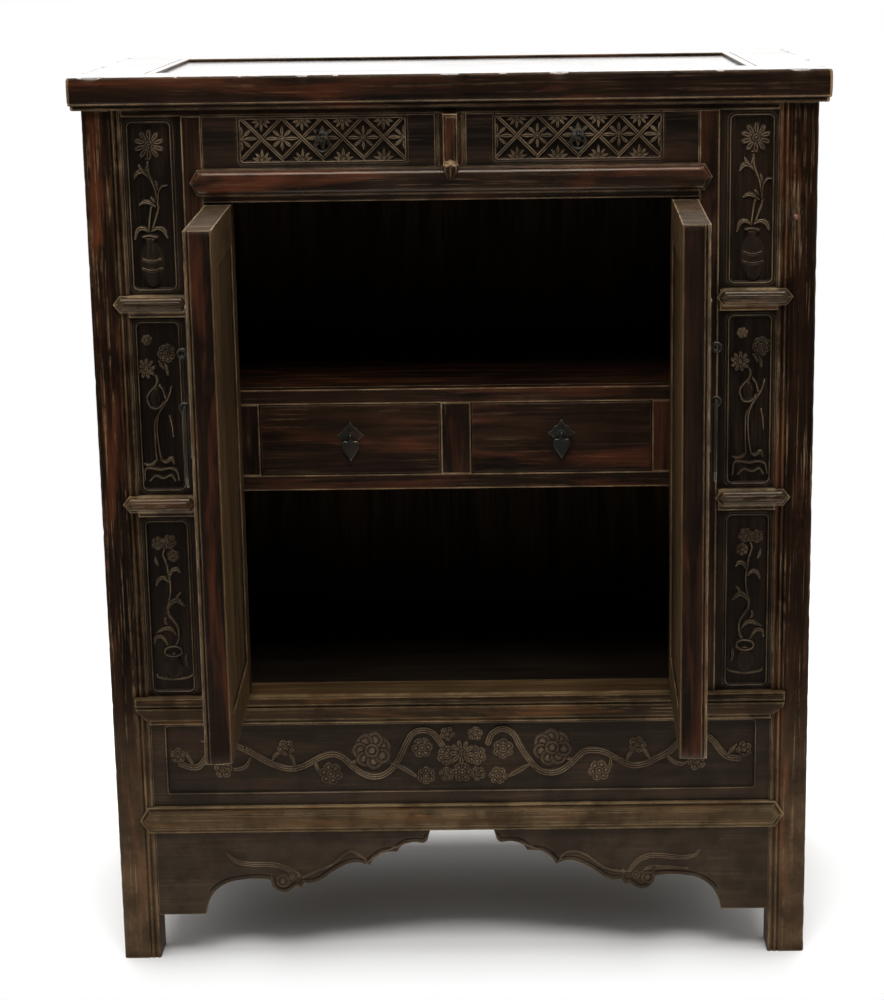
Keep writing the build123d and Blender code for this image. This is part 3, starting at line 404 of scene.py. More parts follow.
def weather(bm, amount, scale, seed=0.0, pick=None):
    # small uneven dents, so that long arrises aren't ruled lines
    bmesh.ops.recalc_face_normals(bm, faces=bm.faces)
    bm.normal_update()
    for vert in bm.verts:
        if pick and not pick(vert.co):
            continue
        where = Vector(vert.co) / scale + Vector((seed, seed * 0.7, -seed))
        dent = noise.noise(where) + 0.5 * noise.noise(where * 2.3)
        vert.co -= vert.normal * max(0.0, dent) * amount


def smoothPath(points, perStep=5):
    # Catmull-Rom through points of any width
    table = np.array(points, float)
    table = np.vstack([2 * table[0] - table[1], table, 2 * table[-1] - table[-2]])
    made = []
    for index in range(1, len(table) - 2):
        a, b, c, d = table[index - 1:index + 3]
        for t in np.linspace(0, 1, perStep, endpoint=False):
            made.append(0.5 * (2 * b + (c - a) * t + (2 * a - 5 * b + 4 * c - d) * t ** 2
                               + (3 * b - a - 3 * c + d) * t ** 3))
    made.append(table[-2])
    return np.array(made)


def nearest(spots, path):
    # distance to the path's edge, and the path's half width there
    best = np.full(len(spots), 1e9)
    width = np.ones(len(spots))
    for index in range(len(path) - 1):
        start, step = path[index, :2], path[index + 1, :2] - path[index, :2]
        share = np.clip(((spots - start) @ step) / max(step @ step, 1e-9), 0, 1)
        gap = np.hypot(*(spots - start - share[:, None] * step).T)
        half = path[index, 2] * (1 - share) + path[index + 1, 2] * share
        closer = gap - half < best
        best[closer] = (gap - half)[closer]
        width[closer] = half[closer]
    return best, width


def strokeHeight(kind, t):
    # across a stroke, from 0 in its middle to 1 at its edge
    dome = np.sqrt(np.clip(1 - t * t, 0, 1))
    if kind == "leaf":
        return dome * (1 - 0.6 * np.exp(-(t / 0.25) ** 2))
    if kind == "vine":
        return (1 - t ** 6) * (0.72 + 0.28 * np.cos(t * math.pi * 3))
    if kind == "body":
        return np.clip((1 - t ** 8), 0, 1) * (0.55 + 0.45 * dome)
    if kind == "lobe":
        return dome * (1 - 0.7 * np.exp(-((t - 0.5) / 0.16) ** 2))
    return dome


def carved(spots, strokes, bold=1.0):
    # the relief over the ground, from strokes of (kind, rise, points with half widths)
    height = np.zeros(len(spots))
    trench = 0.9
    for kind, rise, points in strokes:
        path = smoothPath(points) if len(points) > 1 else np.array([points[0], points[0]], float)
        path[:, 2] *= bold
        if len(points) == 1:
            path[1, 0] += 0.01
        margin = path[:, 2].max() + 2
        low, high = path[:, :2].min(0) - margin, path[:, :2].max(0) + margin
        chosen = np.where(((spots > low) & (spots < high)).all(1))[0]
        if not len(chosen):
            continue
        gap, width = nearest(spots[chosen], path)
        t = np.clip((gap + width) / width, 0, 5)
        here = height[chosen] * np.where(gap < trench, 0.25 + 0.75 * np.clip(gap / trench, 0, 1), 1)
        inside = t < 1
        here[inside] = np.maximum(here[inside], rise * strokeHeight(kind, t[inside]))
        height[chosen] = here
    return height


def bloom(kind, x, z, radius, petals=8, turn=0.0, rise=2.4):
    # petals as strokes of (share of the radius, half width)
    half = radius * math.sin(math.pi / petals) * 0.62
    stroke, parts, heart = (("leaf", [(0.3, half * 0.5), (0.68, half), (0.9, half * 0.75)], 0.26) if kind == "daisy"
                            else ("lobe", [(0.62, radius * 0.4)], 0.36))
    strokes = []
    for index in range(petals):
        angle = turn + index * 2 * math.pi / petals
        dx, dz = radius * math.cos(angle), radius * math.sin(angle)
        strokes.append((stroke, rise, [(x + dx * share, z + dz * share, wide) for share, wide in parts]))
    return strokes + [("lobe", rise * 1.1, [(x, z, radius * heart)])]


def roundedGap(spots, centre, half, corner):
    # signed distance to a rounded rectangle, negative inside
    away = np.abs(spots - centre) - (np.array(half) - corner)
    outside = np.hypot(*np.clip(away, 0, None).T)
    return outside + np.minimum(np.max(away, axis=1), 0) - corner


def markOf(gap, relief, tall=2.4):
    # above 0 up the strokes, -1 on the sunk ground; the finish paints the tops lighter as highlight and the ground
    # darker as shade
    return np.where((relief > 0.3) & (gap < 0), relief / tall, -np.clip(-gap / 1.5, 0, 1))


def hump(gap, place, width):
    return np.exp(-((gap - place) / width) ** 2)


def frameLines(gap, sunk, bead=1.5, second=0.0):
    height = np.where(gap < 0, -sunk * np.clip(-gap / 0.9, 0, 1), 0.0)
    height += 0.55 * hump(gap, bead, 0.7)
    height -= 0.6 * hump(gap, bead * 2.1, 0.5)
    if second:
        height += 0.5 * hump(gap, second, 0.6) - 0.5 * hump(gap, second + 1.3, 0.45)
    return height


def reliefBoard(bm, xRange, zRange, depths, pitch, heightOf, lowEdge=None):
    # grid shaped by its heights, then walls and a back
    (xLow, xHigh), (zLow, zHigh) = xRange, zRange
    across, up = int((xHigh - xLow) / pitch), int((zHigh - zLow) / pitch)
    layer = bm.verts.layers.float.get("relief") or bm.verts.layers.float.new("relief")
    grid = bmesh.ops.create_grid(bm, x_segments=across, y_segments=up, size=1.0)["verts"]
    share = np.array([vert.co[:2] for vert in grid]) / 2 + 0.5
    x = xLow + share[:, 0] * (xHigh - xLow)
    low = np.full(len(x), zLow) if lowEdge is None else lowEdge(x)
    spots = np.column_stack([x, low + share[:, 1] * (zHigh - low)])
    height, mark = heightOf(spots)
    for vert, spot, rise, relief in zip(grid, spots, height, mark):
        vert.co = (spot[0], depths[0] - rise, spot[1])
        vert[layer] = relief
    rim = [edge for edge in {e for vert in grid for e in vert.link_edges} if edge.is_boundary]
    walls = bmesh.ops.extrude_edge_only(bm, edges=rim)["geom"]
    backVerts = {g for g in walls if isinstance(g, bmesh.types.BMVert)}
    for vert in backVerts:
        vert.co.y = depths[1]
    bmesh.ops.contextual_create(bm, geom=[g for g in walls if isinstance(g, bmesh.types.BMEdge)
                                          and all(vert in backVerts for vert in g.verts)])


def finishCarving(bm, name, finish, node):
    finishPiece(bm, name, "root", finish, [node], sharp=60)


carvedBoards = {
    "pitch": 0.85, "depths": (4.0, 18.0), "across": (314.0, 384.0), "centre": 349, "field": (328.0, 377.0),
    "margin": 7.0, "sunk": 3.2,
    "bold": 1.2, "rise": 1.25, "vaseShade": 0.85, "seat": 11.8,
    "upper": (844.5, 1054.0, [
        ("stem", 2.4, [(3.4, 74.9, 1.3), (5, 87.6, 1.3), (6.8, 99.6, 1.5), (9.2, 107.1, 1.4)]),
        ("stem", 2.6, [(8.6, 79.3, 1.2), (12.9, 92, 1.4), (16.1, 102.5, 1.4), (14.8, 114.5, 1.3), (12.4, 126.4, 1.3),
                       (7.7, 138.4, 1.3), (5.1, 148.9, 1.5), (5.5, 156.3, 1.2)]),
        ("stem", 2.2, [(15.3, 105.5, 1.2), (16, 115.9, 1.1), (17.4, 122.6, 1), (21.3, 127.8, 1.1),
                       (26.6, 128.8, 0.8)]),
        ("leaf", 2.4, [(6.2, 138.5, 0.6), (0.2, 144.8, 2), (-6.5, 144.6, 2.2), (-10.6, 138, 0.8)]),
        ("leaf", 2.2, [(1.7, 144.5, 0.5), (-2.4, 147.5, 1.7), (-5.2, 153.5, 0.5)]),
        ("leaf", 2.2, [(2.4, 146, 0.5), (4.6, 150.4, 1.5), (5.6, 155.6, 0.5)]),
        ("leaf", 2.4, [(12.7, 104, 0.6), (5.9, 108.9, 1.8), (-0.8, 110.2, 1.8), (-5.7, 107, 0.6)]),
        ("leaf", 2.2, [(12.2, 109.3, 0.5), (9.6, 112.3, 1.4), (7.3, 115.3, 0.5)]),
        ("leaf", 2.2, [(15.6, 123.4, 0.5), (14.9, 129.4, 1.5), (13.6, 133.9, 0.5)]),
        ("leaf", 2.6, [(2.7, 74.9, 0.8), (-2.7, 79, 2), (-9.4, 77.3, 2.2), (-13.3, 66.8, 0.8)]),
        ("leaf", 2.6, [(6.7, 75.6, 0.8), (13.9, 79.3, 2), (21.4, 76.1, 2.2), (24.8, 67.8, 0.8)]),
        ("body", 2.5, [(4.7, 66.6, 5.5), (4.5, 60.6, 4.2), (4.9, 54.5, 7), (5.3, 45.5, 11), (5.8, 36.4, 12.5),
                       (5.9, 25.8, 10.5), (6, 17.4, 8)]),
        ("stem", 2.9, [(-3.3, 69.3, 1.5), (4.2, 70.2, 1.7), (12.2, 68.6, 1.5)]),
        ("stem", 3.0, [(-4.6, 43, 0.7), (5.3, 40.5, 0.8), (15.6, 43, 0.7)]),
        ("stem", 3.0, [(-5.4, 32, 0.7), (5.6, 29.5, 0.8), (16.8, 32, 0.7)]),
        ("loop", 2.4, [(4.2, 160.5, 0.9), (7.5, 162.4, 1.1), (8.4, 166.6, 1.1), (5.6, 168.4, 1.0), (3.6, 165, 0.9)])]
        + bloom("daisy", 7.9, 176.3, 16.5, 10, 0.3)),
    "middle": (601.0, 818.5, [
        ("stem", 2.6, [(6.5, 42.5, 1.4), (4, 56.7, 1.4), (2.5, 75.5, 1.4), (3.5, 94.2, 1.5), (9.7, 108.2, 1.5),
                       (16.2, 117.4, 1.5), (19.9, 125.1, 1.4), (21.6, 132.1, 1)]),
        ("stem", 2.0, [(0.4, 43.4, 1), (-0.4, 64.6, 1), (-0.1, 88, 0.9), (2.7, 95.8, 0.8)]),
        ("stem", 2.2, [(14.6, 118.2, 1.1), (11.4, 128.4, 1.2), (7.5, 134.6, 1)]),
        ("stem", 1.8, [(18, 97.2, 0.7), (20.5, 84.6, 0.8), (21.4, 72.1, 0.6)]),
        ("body", 1.7, [(3, 128.5, 2), (1.9, 119.2, 6), (2.5, 111.4, 4)]),
        ("loop", 2.4, [(3, 133.4, 1.2), (-3.8, 127, 1.3), (-7.8, 119.3, 1.4), (-5.1, 109.9, 1.4), (0.3, 106.4, 1.3),
                       (7.1, 107.9, 1.3), (11.6, 113.6, 1.2)]),
        ("leaf", 2.2, [(3, 133.4, 0.5), (5.1, 140.8, 1.6), (2.8, 147.1, 0.5)]),
        ("leaf", 2.2, [(13.3, 154.7, 0.6), (11, 159.3, 1.9), (7.9, 164, 0.5)]),
        ("leaf", 2.2, [(18, 146.9, 0.6), (17.1, 154.6, 1.8), (14.7, 161.6, 0.5)]),
        ("leaf", 2.4, [(6.5, 42.5, 0.8), (11.9, 40.9, 1.8), (18, 45.2, 1.9), (21.2, 38.4, 0.8)]),
        ("leaf", 2.4, [(-0.4, 42.6, 0.8), (-4.2, 38.7, 1.8), (-9.5, 36.4, 1.8), (-14.9, 38.8, 0.7)]),
        ("stem", 2.3, [(-15.4, 18.3, 1.3), (-13.8, 31.7, 1.5), (-6.4, 33.2, 1.6), (4.4, 31.2, 1.6), (15.1, 32.9, 1.5),
                       (23.6, 29.7, 1.5), (26.1, 18.6, 1.2)]),
        ("stem", 2.0, [(-9.3, 17.5, 1), (-1.7, 23.7, 1.3), (7.6, 20.4, 1.3), (16.8, 24.2, 1.3), (21.5, 17.9, 1)])]
        + bloom("cloud", -5.4, 189.6, 6, 6, 0.2) + bloom("cloud", 17.6, 173.1, 10.5, 7, 0.5)
        + bloom("daisy", -8, 154.9, 11, 9, 0.1)),
    "lower": (346.0, 575.0, [
        ("stem", 2.6, [(-0.9, 64.3, 1.5), (-4.8, 72.7, 1.6), (-5.3, 86, 1.6), (-0.5, 96, 1.7), (5.3, 104.2, 1.7),
                       (6.8, 112.5, 1.5)]),
        ("stem", 2.4, [(6.8, 112.5, 1.3), (3, 129.1, 1.3), (2.2, 142.4, 1.3), (3.5, 155.6, 1.4), (5.7, 169.6, 1.2)]),
        ("stem", 2.3, [(5.7, 169.6, 1.2), (9.2, 180.5, 1.2), (6.9, 189.2, 1.0)]),
        ("leaf", 2.8, [(6.8, 110, 0.9), (3.2, 119.2, 2.4), (-5.6, 122.3, 2.6), (-13.5, 115.2, 0.9)]),
        ("leaf", 2.2, [(-4.8, 121.8, 0.5), (-5.7, 126.8, 1.5), (-8.9, 130.9, 0.5)]),
        ("leaf", 2.4, [(2.7, 152.3, 0.6), (0.2, 159.7, 2), (-6.2, 162.3, 2.1), (-9.8, 157.4, 0.7)]),
        ("leaf", 2.4, [(4.4, 145.7, 0.6), (9.9, 151.4, 2), (16.3, 148.8, 2.1), (19.6, 141.4, 0.7)]),
        ("leaf", 2.0, [(16, 167, 0.5), (18.4, 171.9, 1.7), (19.9, 177.6, 0.5)]),
        ("leaf", 2.4, [(-1.9, 79.3, 0.7), (3.6, 85.9, 2), (11.6, 86.7, 2), (21.3, 81.6, 0.8)]),
        ("leaf", 2.2, [(8.4, 90.9, 0.5), (10.7, 95.8, 1.6), (9.8, 100.8, 0.5)]),
        ("leaf", 2.2, [(8.7, 65.8, 0.6), (15, 75.8, 1.9), (23, 75.7, 1.9), (25.5, 67.3, 0.7)]),
        ("body", 2.2, [(2.2, 50, 5), (2.6, 45.8, 7.5), (3, 38.2, 9.5), (3.1, 30.7, 7.5), (3.1, 27, 5.5)]),
        ("loop", 2.8, [(-8.5, 56, 1.2), (-6.5, 61.8, 1.3), (1.5, 63.9, 1.3), (10.4, 61.6, 1.3), (12.4, 55.7, 1.2),
                       (7.3, 51.6, 1.3), (-1.5, 51.2, 1.3), (-8.2, 55.6, 1.2)]),
        ("stem", 2.3, [(-22.9, 29.3, 1), (-14.8, 24.1, 1.4), (2.9, 21.4, 1.6), (20.6, 23.7, 1.4), (23.7, 27.9, 0.9)]),
        ("leaf", 2.0, [(-14.2, 37.6, 0.6), (-12.7, 46, 1.8), (-13.6, 52.7, 0.6)])]
        + bloom("cloud", 1.5, 196, 8.5, 6, 0.2) + bloom("cloud", 15.2, 194.5, 7.5, 6, 0.6)
        + bloom("cloud", -2.4, 178.7, 7, 6, 0.4)),
}


def carvedSide(side):
    sign = 1 if side == "right" else -1
    bold = carvedBoards["bold"]
    middle = sign * sum(carvedBoards["field"]) / 2
    half = (carvedBoards["field"][1] - carvedBoards["field"][0]) / 2
    bm = bmesh.new()
    for name in ("upper", "middle", "lower"):
        low, high, strokes = carvedBoards[name]
        turned = -1 if (name == "lower" and side == "left") else 1
        centre = sign * carvedBoards["centre"] - (carvedBoards["seat"] if side == "left" and turned == 1 else 0)
        placed = [(kind, rise, [(centre + turned * x, z + low, width) for x, z, width in points])
                  for kind, rise, points in strokes]
        bodies = [stroke for stroke in placed if stroke[0] == "body"]

        def heightOf(spots):
            gap = roundedGap(spots, (middle, (low + high) / 2), (half, (high - low) / 2 - carvedBoards["margin"]), 6)
            base = frameLines(gap, carvedBoards["sunk"], 0.9, 4.2)
            base += 0.07 * np.sin(spots[:, 0] * 1.9 + 2 * np.sin(spots[:, 1] * 0.31)) * (gap < 0)
            relief, vase = carved(spots, placed, bold), carved(spots, bodies, bold)
            kept = 1 - carvedBoards["vaseShade"] * np.clip(2 * (vase - 1.3), 0, 1) * (relief < vase + 0.15)
            return (base + carvedBoards["rise"] * relief * np.clip(-gap / 1.2, 0, 1),
                    np.maximum(markOf(gap, relief) * kept, -0.6))

        span = sorted(sign * x for x in carvedBoards["across"])
        reliefBoard(bm, span, (low, high), carvedBoards["depths"], carvedBoards["pitch"], heightOf)
    finishCarving(bm, side + "CarvedBoards", "tallCarvedZ", side + "_carved_panels")


belly = {
    "across": (-384.0, 384.0), "up": (202.0, 310.0), "depths": (4.0, 18.0), "field": (365.0, 219.0, 307.0),
    "pitch": 0.95, "sunk": 3.0, "lift": 2.2,
    "leftVine": [(-272.3, 275.3), (-260.1, 268.6), (-245.4, 259.2), (-229.4, 251.2), (-213.3, 247), (-198.2, 249.5),
                 (-185.6, 255.9), (-172.9, 262.4), (-159.1, 265.5), (-146.7, 260.8), (-134.5, 248.8), (-122.3, 239.5),
                 (-109.9, 235.4), (-96.1, 237.9), (-83.4, 248.3), (-75.6, 261.3), (-67.8, 277.6), (-60.1, 290.7),
                 (-47.6, 295.7), (-35.2, 292.3), (-26.7, 281.8), (-21.8, 273.9)],
    "leftEnd": [(-272.3, 275.3), (-287.1, 280.7), (-303.6, 274.3), (-316.5, 262.6), (-327, 250.9), (-338.2, 251),
                (-348.1, 255.1)],
    "rightVine": [(34.2, 278.5), (39.3, 290.2), (51.8, 296.6), (65.4, 289.9), (73.9, 273.4), (84.3, 257),
                  (96.9, 242.4),
                  (109.6, 238.3), (122.3, 240), (134.8, 248.6), (145.3, 258.9), (154.1, 265.8), (166.9, 267),
                  (179.6, 264.2),
                  (194.5, 255.8), (205.7, 249.1), (216.2, 246.4), (230.2, 248.8), (242.9, 255.3), (259.1, 264.3),
                  (268.9, 274.6), (287.5, 284.9), (303.6, 284.7), (313.6, 278.1), (321.1, 267.5), (331.2, 256.9),
                  (344.8, 254.2)],
    "flowers": [("cloud", -110.4, 269.6, 23, 7), ("cloud", 113.7, 271.1, 23, 7), ("cloud", -48, 272.8, 12.5, 6),
                ("cloud", 52.8, 270.4, 12.5, 6), ("cloud", -162.3, 239.9, 14, 6), ("cloud", 172.1, 240.3, 13, 6),
                ("cloud", -43.7, 236, 11, 6), ("cloud", 46.2, 235, 11, 6), ("cloud", -217.5, 274.7, 10, 5),
                ("cloud", 219.3, 273.9, 10, 5), ("cloud", -351.5, 266, 9.5, 5), ("cloud", 352.2, 266, 9.5, 5),
                ("cloud", -16.6, 290.8, 9, 5), ("cloud", 18.2, 290.4, 9, 5), ("cloud", -17, 262, 12, 6),
                ("cloud", 19, 262, 12, 6), ("cloud", 1.4, 240, 12, 6), ("cloud", -18, 238, 9, 5),
                ("cloud", 21, 238, 9, 5),
                ("daisy", 1.6, 266, 15, 9), ("cloud", -296, 247, 11, 5), ("cloud", 293, 251, 11, 5)],
    "sprigs": [[(-236, 256, 0.8), (-230, 266, 2.4), (-222, 270, 0.8)],
               [(-206, 250, 0.8), (-210, 262, 2.2), (-214, 268, 0.8)],
               [(-262, 262, 0.8), (-268, 251, 2.6), (-279, 247, 2.4), (-286, 249, 0.8)],
               [(255, 262, 0.8), (263, 252, 2.6), (274, 248, 2.4), (282, 251, 0.8)],
               [(205, 251, 0.8), (210, 262, 2.4), (216, 268, 0.8)],
               [(236, 253, 0.8), (230, 264, 2.4), (224, 270, 0.8)],
               [(-86, 252, 0.8), (-72, 246, 3.0), (-60, 238, 2.6), (-53, 233, 0.8)],
               [(88, 251, 0.8), (76, 244, 3.0), (64, 237, 2.6), (56, 233, 0.8)],
               [(-332, 252, 0.8), (-338, 262, 2.4), (-342, 270, 0.8)],
               [(330, 258, 0.8), (337, 266, 2.4), (342, 272, 0.8)],
               [(-300, 276, 0.8), (-310, 284, 2.4), (-322, 284, 0.8)],
               [(-182, 258, 0.8), (-178, 246, 2.4), (-170, 238, 0.8)],
               [(186, 260, 0.8), (186, 248, 2.4), (180, 240, 0.8)],
               [(-140, 254, 0.8), (-128, 256, 2.4), (-120, 262, 0.8)],
               [(140, 254, 0.8), (130, 258, 2.4), (124, 264, 0.8)]],
}


def bellyBoard():
    half, low, high = belly["field"]
    strokes = [("vine", 2.4, [(x, z, 3.7) for x, z in belly[name]]) for name in ("leftVine", "leftEnd", "rightVine")]
    strokes += [("leaf", 2.2, points) for points in belly["sprigs"]]
    for index, (kind, x, z, radius, petals) in enumerate(belly["flowers"]):
        strokes += bloom(kind, x, z, radius, petals, 0.4 + index * 0.37, 2.7)
    strokes = [(kind, rise, [(x, z + belly["lift"], width) for x, z, width in points])
               for kind, rise, points in strokes]

    def heightOf(spots):
        gap = roundedGap(spots, (0, (low + high) / 2), (half, (high - low) / 2), 3)
        relief = carved(spots, strokes, 1.2)
        return (frameLines(gap, belly["sunk"], 1.0) + 1.2 * relief * np.clip(-gap / 1.5, 0, 1),
                np.maximum(markOf(gap, relief), -0.4))

    bm = bmesh.new()
    reliefBoard(bm, belly["across"], belly["up"], belly["depths"], belly["pitch"], heightOf)
    finishCarving(bm, "bellyBoard", "broadCarvedX", "lower_carved_panel")


apronSizes = {
    "length": 344.5, "height": 110.5, "outer": 384.0, "top": 168.0, "lineEnd": 320, "depths": (3.0, 19.0),
    "pitch": 0.9,
    "edge": [((0.9927, 0.0814),), ((0.9840, 0.1493), (0.9666, 0.1674)), ((0.9405, 0.1575), (0.9115, 0.1692)),
             ((0.8911, 0.2081), (0.8781, 0.2715)), ((0.8476, 0.2697), (0.8215, 0.2851)), ((0.7925, 0.3484),
                                                                                          (0.7736, 0.4389)),
             ((0.7286, 0.3946), (0.6821, 0.4299)), ((0.6415, 0.5023), (0.6038, 0.5882)), ((0.5689, 0.6335),
                                                                                          (0.5341, 0.6317)),
             ((0.5254, 0.6968),), ((0.5051, 0.6742),), ((0.4586, 0.7511), (0.4165, 0.6697)), ((0.4151, 0.6199),
                                                                                              (0.4064, 0.5900)),
             ((0.3541, 0.5774), (0.2932, 0.5955)), ((0.2177, 0.6968), (0.1771, 0.9231)), ((0.1727, 1.0),)],
    "left": [("stem", 1.7, [(-201, 105.6, 1.6), (-183, 114.8, 2), (-163.9, 122.7, 2), (-144.6, 138.6, 2),
                            (-135.8, 139.1, 2),
                            (-123.4, 130.3, 2), (-118.6, 122.2, 1.4)]),
             ("vine", 2.0, [(-295.7, 140.1, 1.6), (-287.2, 130.6, 3.2), (-271, 125.1, 3.8), (-237, 123.4, 4),
                            (-220.8, 117.9, 4),
                            (-206, 109, 3)]),
             ("lobe", 2.4, [(-226.4, 101.5, 9.5)]), ("lobe", 2.0, [(-213, 108, 5.5)]),
             ("stem", 1.5, [(-118, 126, 1.4), (-104, 136, 1.6), (-86, 144, 1.5), (-66, 151, 1.2)])],
    "right": [("stem", 1.7, [(120.4, 122.5, 1.4), (128, 134.4, 2), (141.8, 137, 2), (156.8, 131.5, 2),
                             (175.6, 116.6, 2),
                             (190.7, 111, 2), (208.3, 109.5, 1.6)]),
              ("vine", 2.0, [(209.6, 110.8, 3), (220.8, 124.1, 3.8), (238.4, 130.6, 4), (276, 127.6, 3.6),
                             (291, 130.1, 2.6),
                             (297.2, 136.7, 1.4)]),
              ("vine", 1.8, [(225.9, 108, 2), (238.4, 114.6, 3), (282.4, 112.8, 1.6)]),
              ("lobe", 2.4, [(232.7, 101.5, 9)]), ("lobe", 2.0, [(218, 105, 5.5)]),
              ("stem", 1.5, [(118, 126, 1.4), (104, 136, 1.6), (86, 144, 1.5), (66, 151, 1.2)])],
}


def apronEdge():
    # the lower edge as close points, from the tip out to the leg
    points = [(1.0, 0.0)]
    for edge in apronSizes["edge"]:
        start = points[-1]
        if len(edge) == 1:
            points.append(edge[0])
            continue
        middle, end = edge
        for t in np.linspace(0, 1, 9)[1:]:
            points.append(tuple(start[i] * 2 * (t - 0.5) * (t - 1) + middle[i] * 4 * t * (1 - t)
                                + end[i] * 2 * t * (t - 0.5) for i in (0, 1)))
    table = np.array(points + [(0.1725, 1.0), (0.0, 1.0)])
    return (apronSizes["outer"] - table[:, 0] * apronSizes["length"],
            apronSizes["top"] - table[:, 1] * apronSizes["height"])


def apronPiece(side):
    sign = 1 if side == "right" else -1
    edgeX, edgeZ = apronEdge()
    rim = np.column_stack([sign * edgeX, edgeZ, np.full(len(edgeX), 1.0)])[2:-2]

    def lowEdge(x):
        return np.minimum(np.interp(np.abs(x), edgeX, edgeZ), apronSizes["top"] - 0.4)

    def heightOf(spots):
        relief = carved(spots, apronSizes[side])
        gap = nearest(spots, rim)[0] + 1.0
        away = np.abs(spots[:, 0]) < apronSizes["lineEnd"]
        line = away * hump(gap, 5.5, 0.9)
        # the incised line is marked to be painted darker as shade, the strokes' tops lighter as highlight
        return relief - 1.1 * line - away * 1.2 * hump(gap, 0, 1.2), np.where(relief > 0.3, relief / 2.4, -line)

    bm = bmesh.new()
    span = sorted(sign * x for x in (apronSizes["outer"] - apronSizes["length"], apronSizes["outer"]))
    reliefBoard(bm, span, (0, apronSizes["top"]), apronSizes["depths"], apronSizes["pitch"], heightOf, lowEdge)
    finishCarving(bm, side + "Apron", "broadCarvedX", side + "_apron")


rails = {
    "drawerRail": dict(node="drawer_rail", finish="railX", tip=306.5, up=(961.2, 991.9), point=9.5,
                       core=(291.0, 953.2, 991.8), profile=[(1.3, 0.3), (0.5, 1.8)] + torusProfile(5.6, 6.6)),
    "baseRail": dict(node="base_rail", finish="bandX", tip=402.0, up=(168.0, 202.0), point=11.0,
                     core=(384.0, 168.2, 201.8), profile=[(2.4, 0.2), (0.6, -1.2), (0.7, 2.6)]
                     + torusProfile(4.5, 5.2) + [(1.0, -0.7), (0.8, 0.7)]),
}


def frontRail(name):
    rail = rails[name]
    tip, point, (half, low, high) = rail["tip"], rail["point"], rail["core"]
    bm = bmesh.new()
    mouldedSlab(bm, pointedBar(-tip, tip, *rail["up"], point), 4.0, -1.0, rail["profile"])
    cutAlong(bm, 0, np.linspace(-tip + point, tip - point, 70))
    weather(bm, 0.7, 16, 3.1)
    addBlock(bm, (-half, half), (2.0, 42.0), (low, high))
    finishPiece(bm, name, "root", rail["finish"], [rail["node"]])


shortRails = {"across": (312.0, 403.0), "heights": (588.0, 831.5), "lower": 7.5, "upper": 13.0, "point": 8.0,
              "core": (4.0, 18.0),
              "profile": [(1.9, 0.2), (0.5, 1.2)] + torusProfile(3.6, 3.6) + [(1.2, -0.6), (0.6, 0.5)]}


def shortRailPiece():
    upper, (inner, outer) = shortRails["upper"], shortRails["core"]
    bm = bmesh.new()
    for middle in shortRails["heights"]:
        for sign in (-1, 1):
            xLow, xHigh = sorted(sign * x for x in shortRails["across"])
            outline = pointedBar(xLow, xHigh, middle - shortRails["lower"], middle + upper, shortRails["point"])
            mouldedSlab(bm, outline, 22.0, -2.0, shortRails["profile"])
            ends = (xLow + inner, xHigh - outer) if sign > 0 else (xLow + outer, xHigh - inner)
            addBlock(bm, ends, (-1.2, 21.0), (middle - upper + 0.2, middle + upper - 0.6))
    cutAlong(bm, 0, [s * x for s in (-1, 1) for x in np.linspace(323, 392, 12)])
    weather(bm, 0.5, 11, 7.7)
    finishPiece(bm, "shortRails", "root", "shortX", ["short_panel_rails"])


posts = {
    "dentedTo": 40, "tall": 1062.0, "seeds": {"left": 5.3, "right": 9.1},
    # from the inner back corner round the front, (across, back)
    "section": [(384, 46), (384, 3.2), (384.5, 1.2), (386, 0.3), (388, 0.6), (389.3, 1.4), (390.3, 2.1), (391.3, 0.9),
                (393.2, 0.1), (395.2, 0.9), (396.2, 2.0), (397.2, 0.6), (399, 0.0), (410, 0.0), (424, 0.0),
                (427.6, 0.7), (429.4, 2.4), (430, 5), (430, 46)],
}


def frontPost(side):
    tall = posts["tall"]
    bm = bmesh.new()
    prism(bm, posts["section"], 0, tall)
    cutAlong(bm, 2, np.linspace(0, tall, 150)[1:-1])
    weather(bm, 0.9, 14, posts["seeds"][side], lambda co: co.y < posts["dentedTo"] and 0 < co.z < tall)
    finishPiece(bm, side + "FrontPost", "root", "postZ", ["front_" + side + "_post"], mirrored=side == "left")


sill = {"tip": 400.0, "chamfer": 12.0, "up": (310.0, 346.0), "foot": 316.0, "band": 335.6, "lip": 333.4, "back": 56.0,
        "half": 384.0, "lean": 0.2}


def sillPiece():
    tip, foot, lip = sill["tip"], sill["foot"], sill["lip"]
    inner, rise = tip - sill["chamfer"], foot + sill["chamfer"]
    low, high = sill["up"]
    bm = bmesh.new()
    mouldedSlab(bm, rectangle(-tip, tip, sill["band"], high), 6.0, -6.9, [(0.4, 0.7), (0.8, 0.4)])
    mouldedSlab(bm, [(-inner, foot), (inner, foot), (tip, rise), (tip, lip), (-tip, lip), (-tip, rise)], 6.0, -4.6,
                [(0.5, 1.6)] + torusProfile(3.0, 1.6, 4))
    for vert in bm.verts:
        if vert.co.z < lip + 0.1 and vert.co.y < 0:
            vert.co.y += (lip - vert.co.z) * sill["lean"]
    cutAlong(bm, 0, np.linspace(-tip + 14, tip - 14, 90))
    weather(bm, 0.8, 15, 2.2)
    addBlock(bm, (-tip + 1.5, tip - 1.5), (-3.5, 4.0), (326.0, high - 0.6))
    addBlock(bm, (-sill["half"], sill["half"]), (0.0, sill["back"]), (low + 0.2, high - 0.2))
    bm.normal_update()
    for face in bm.faces:
        face.material_index = 1 if face.calc_center_median().z > high - 0.6 and abs(face.normal.z) > 0.7 else 0
    finishPiece(bm, "sillRail", "root", "bandX rawX", ["sill_rail"])


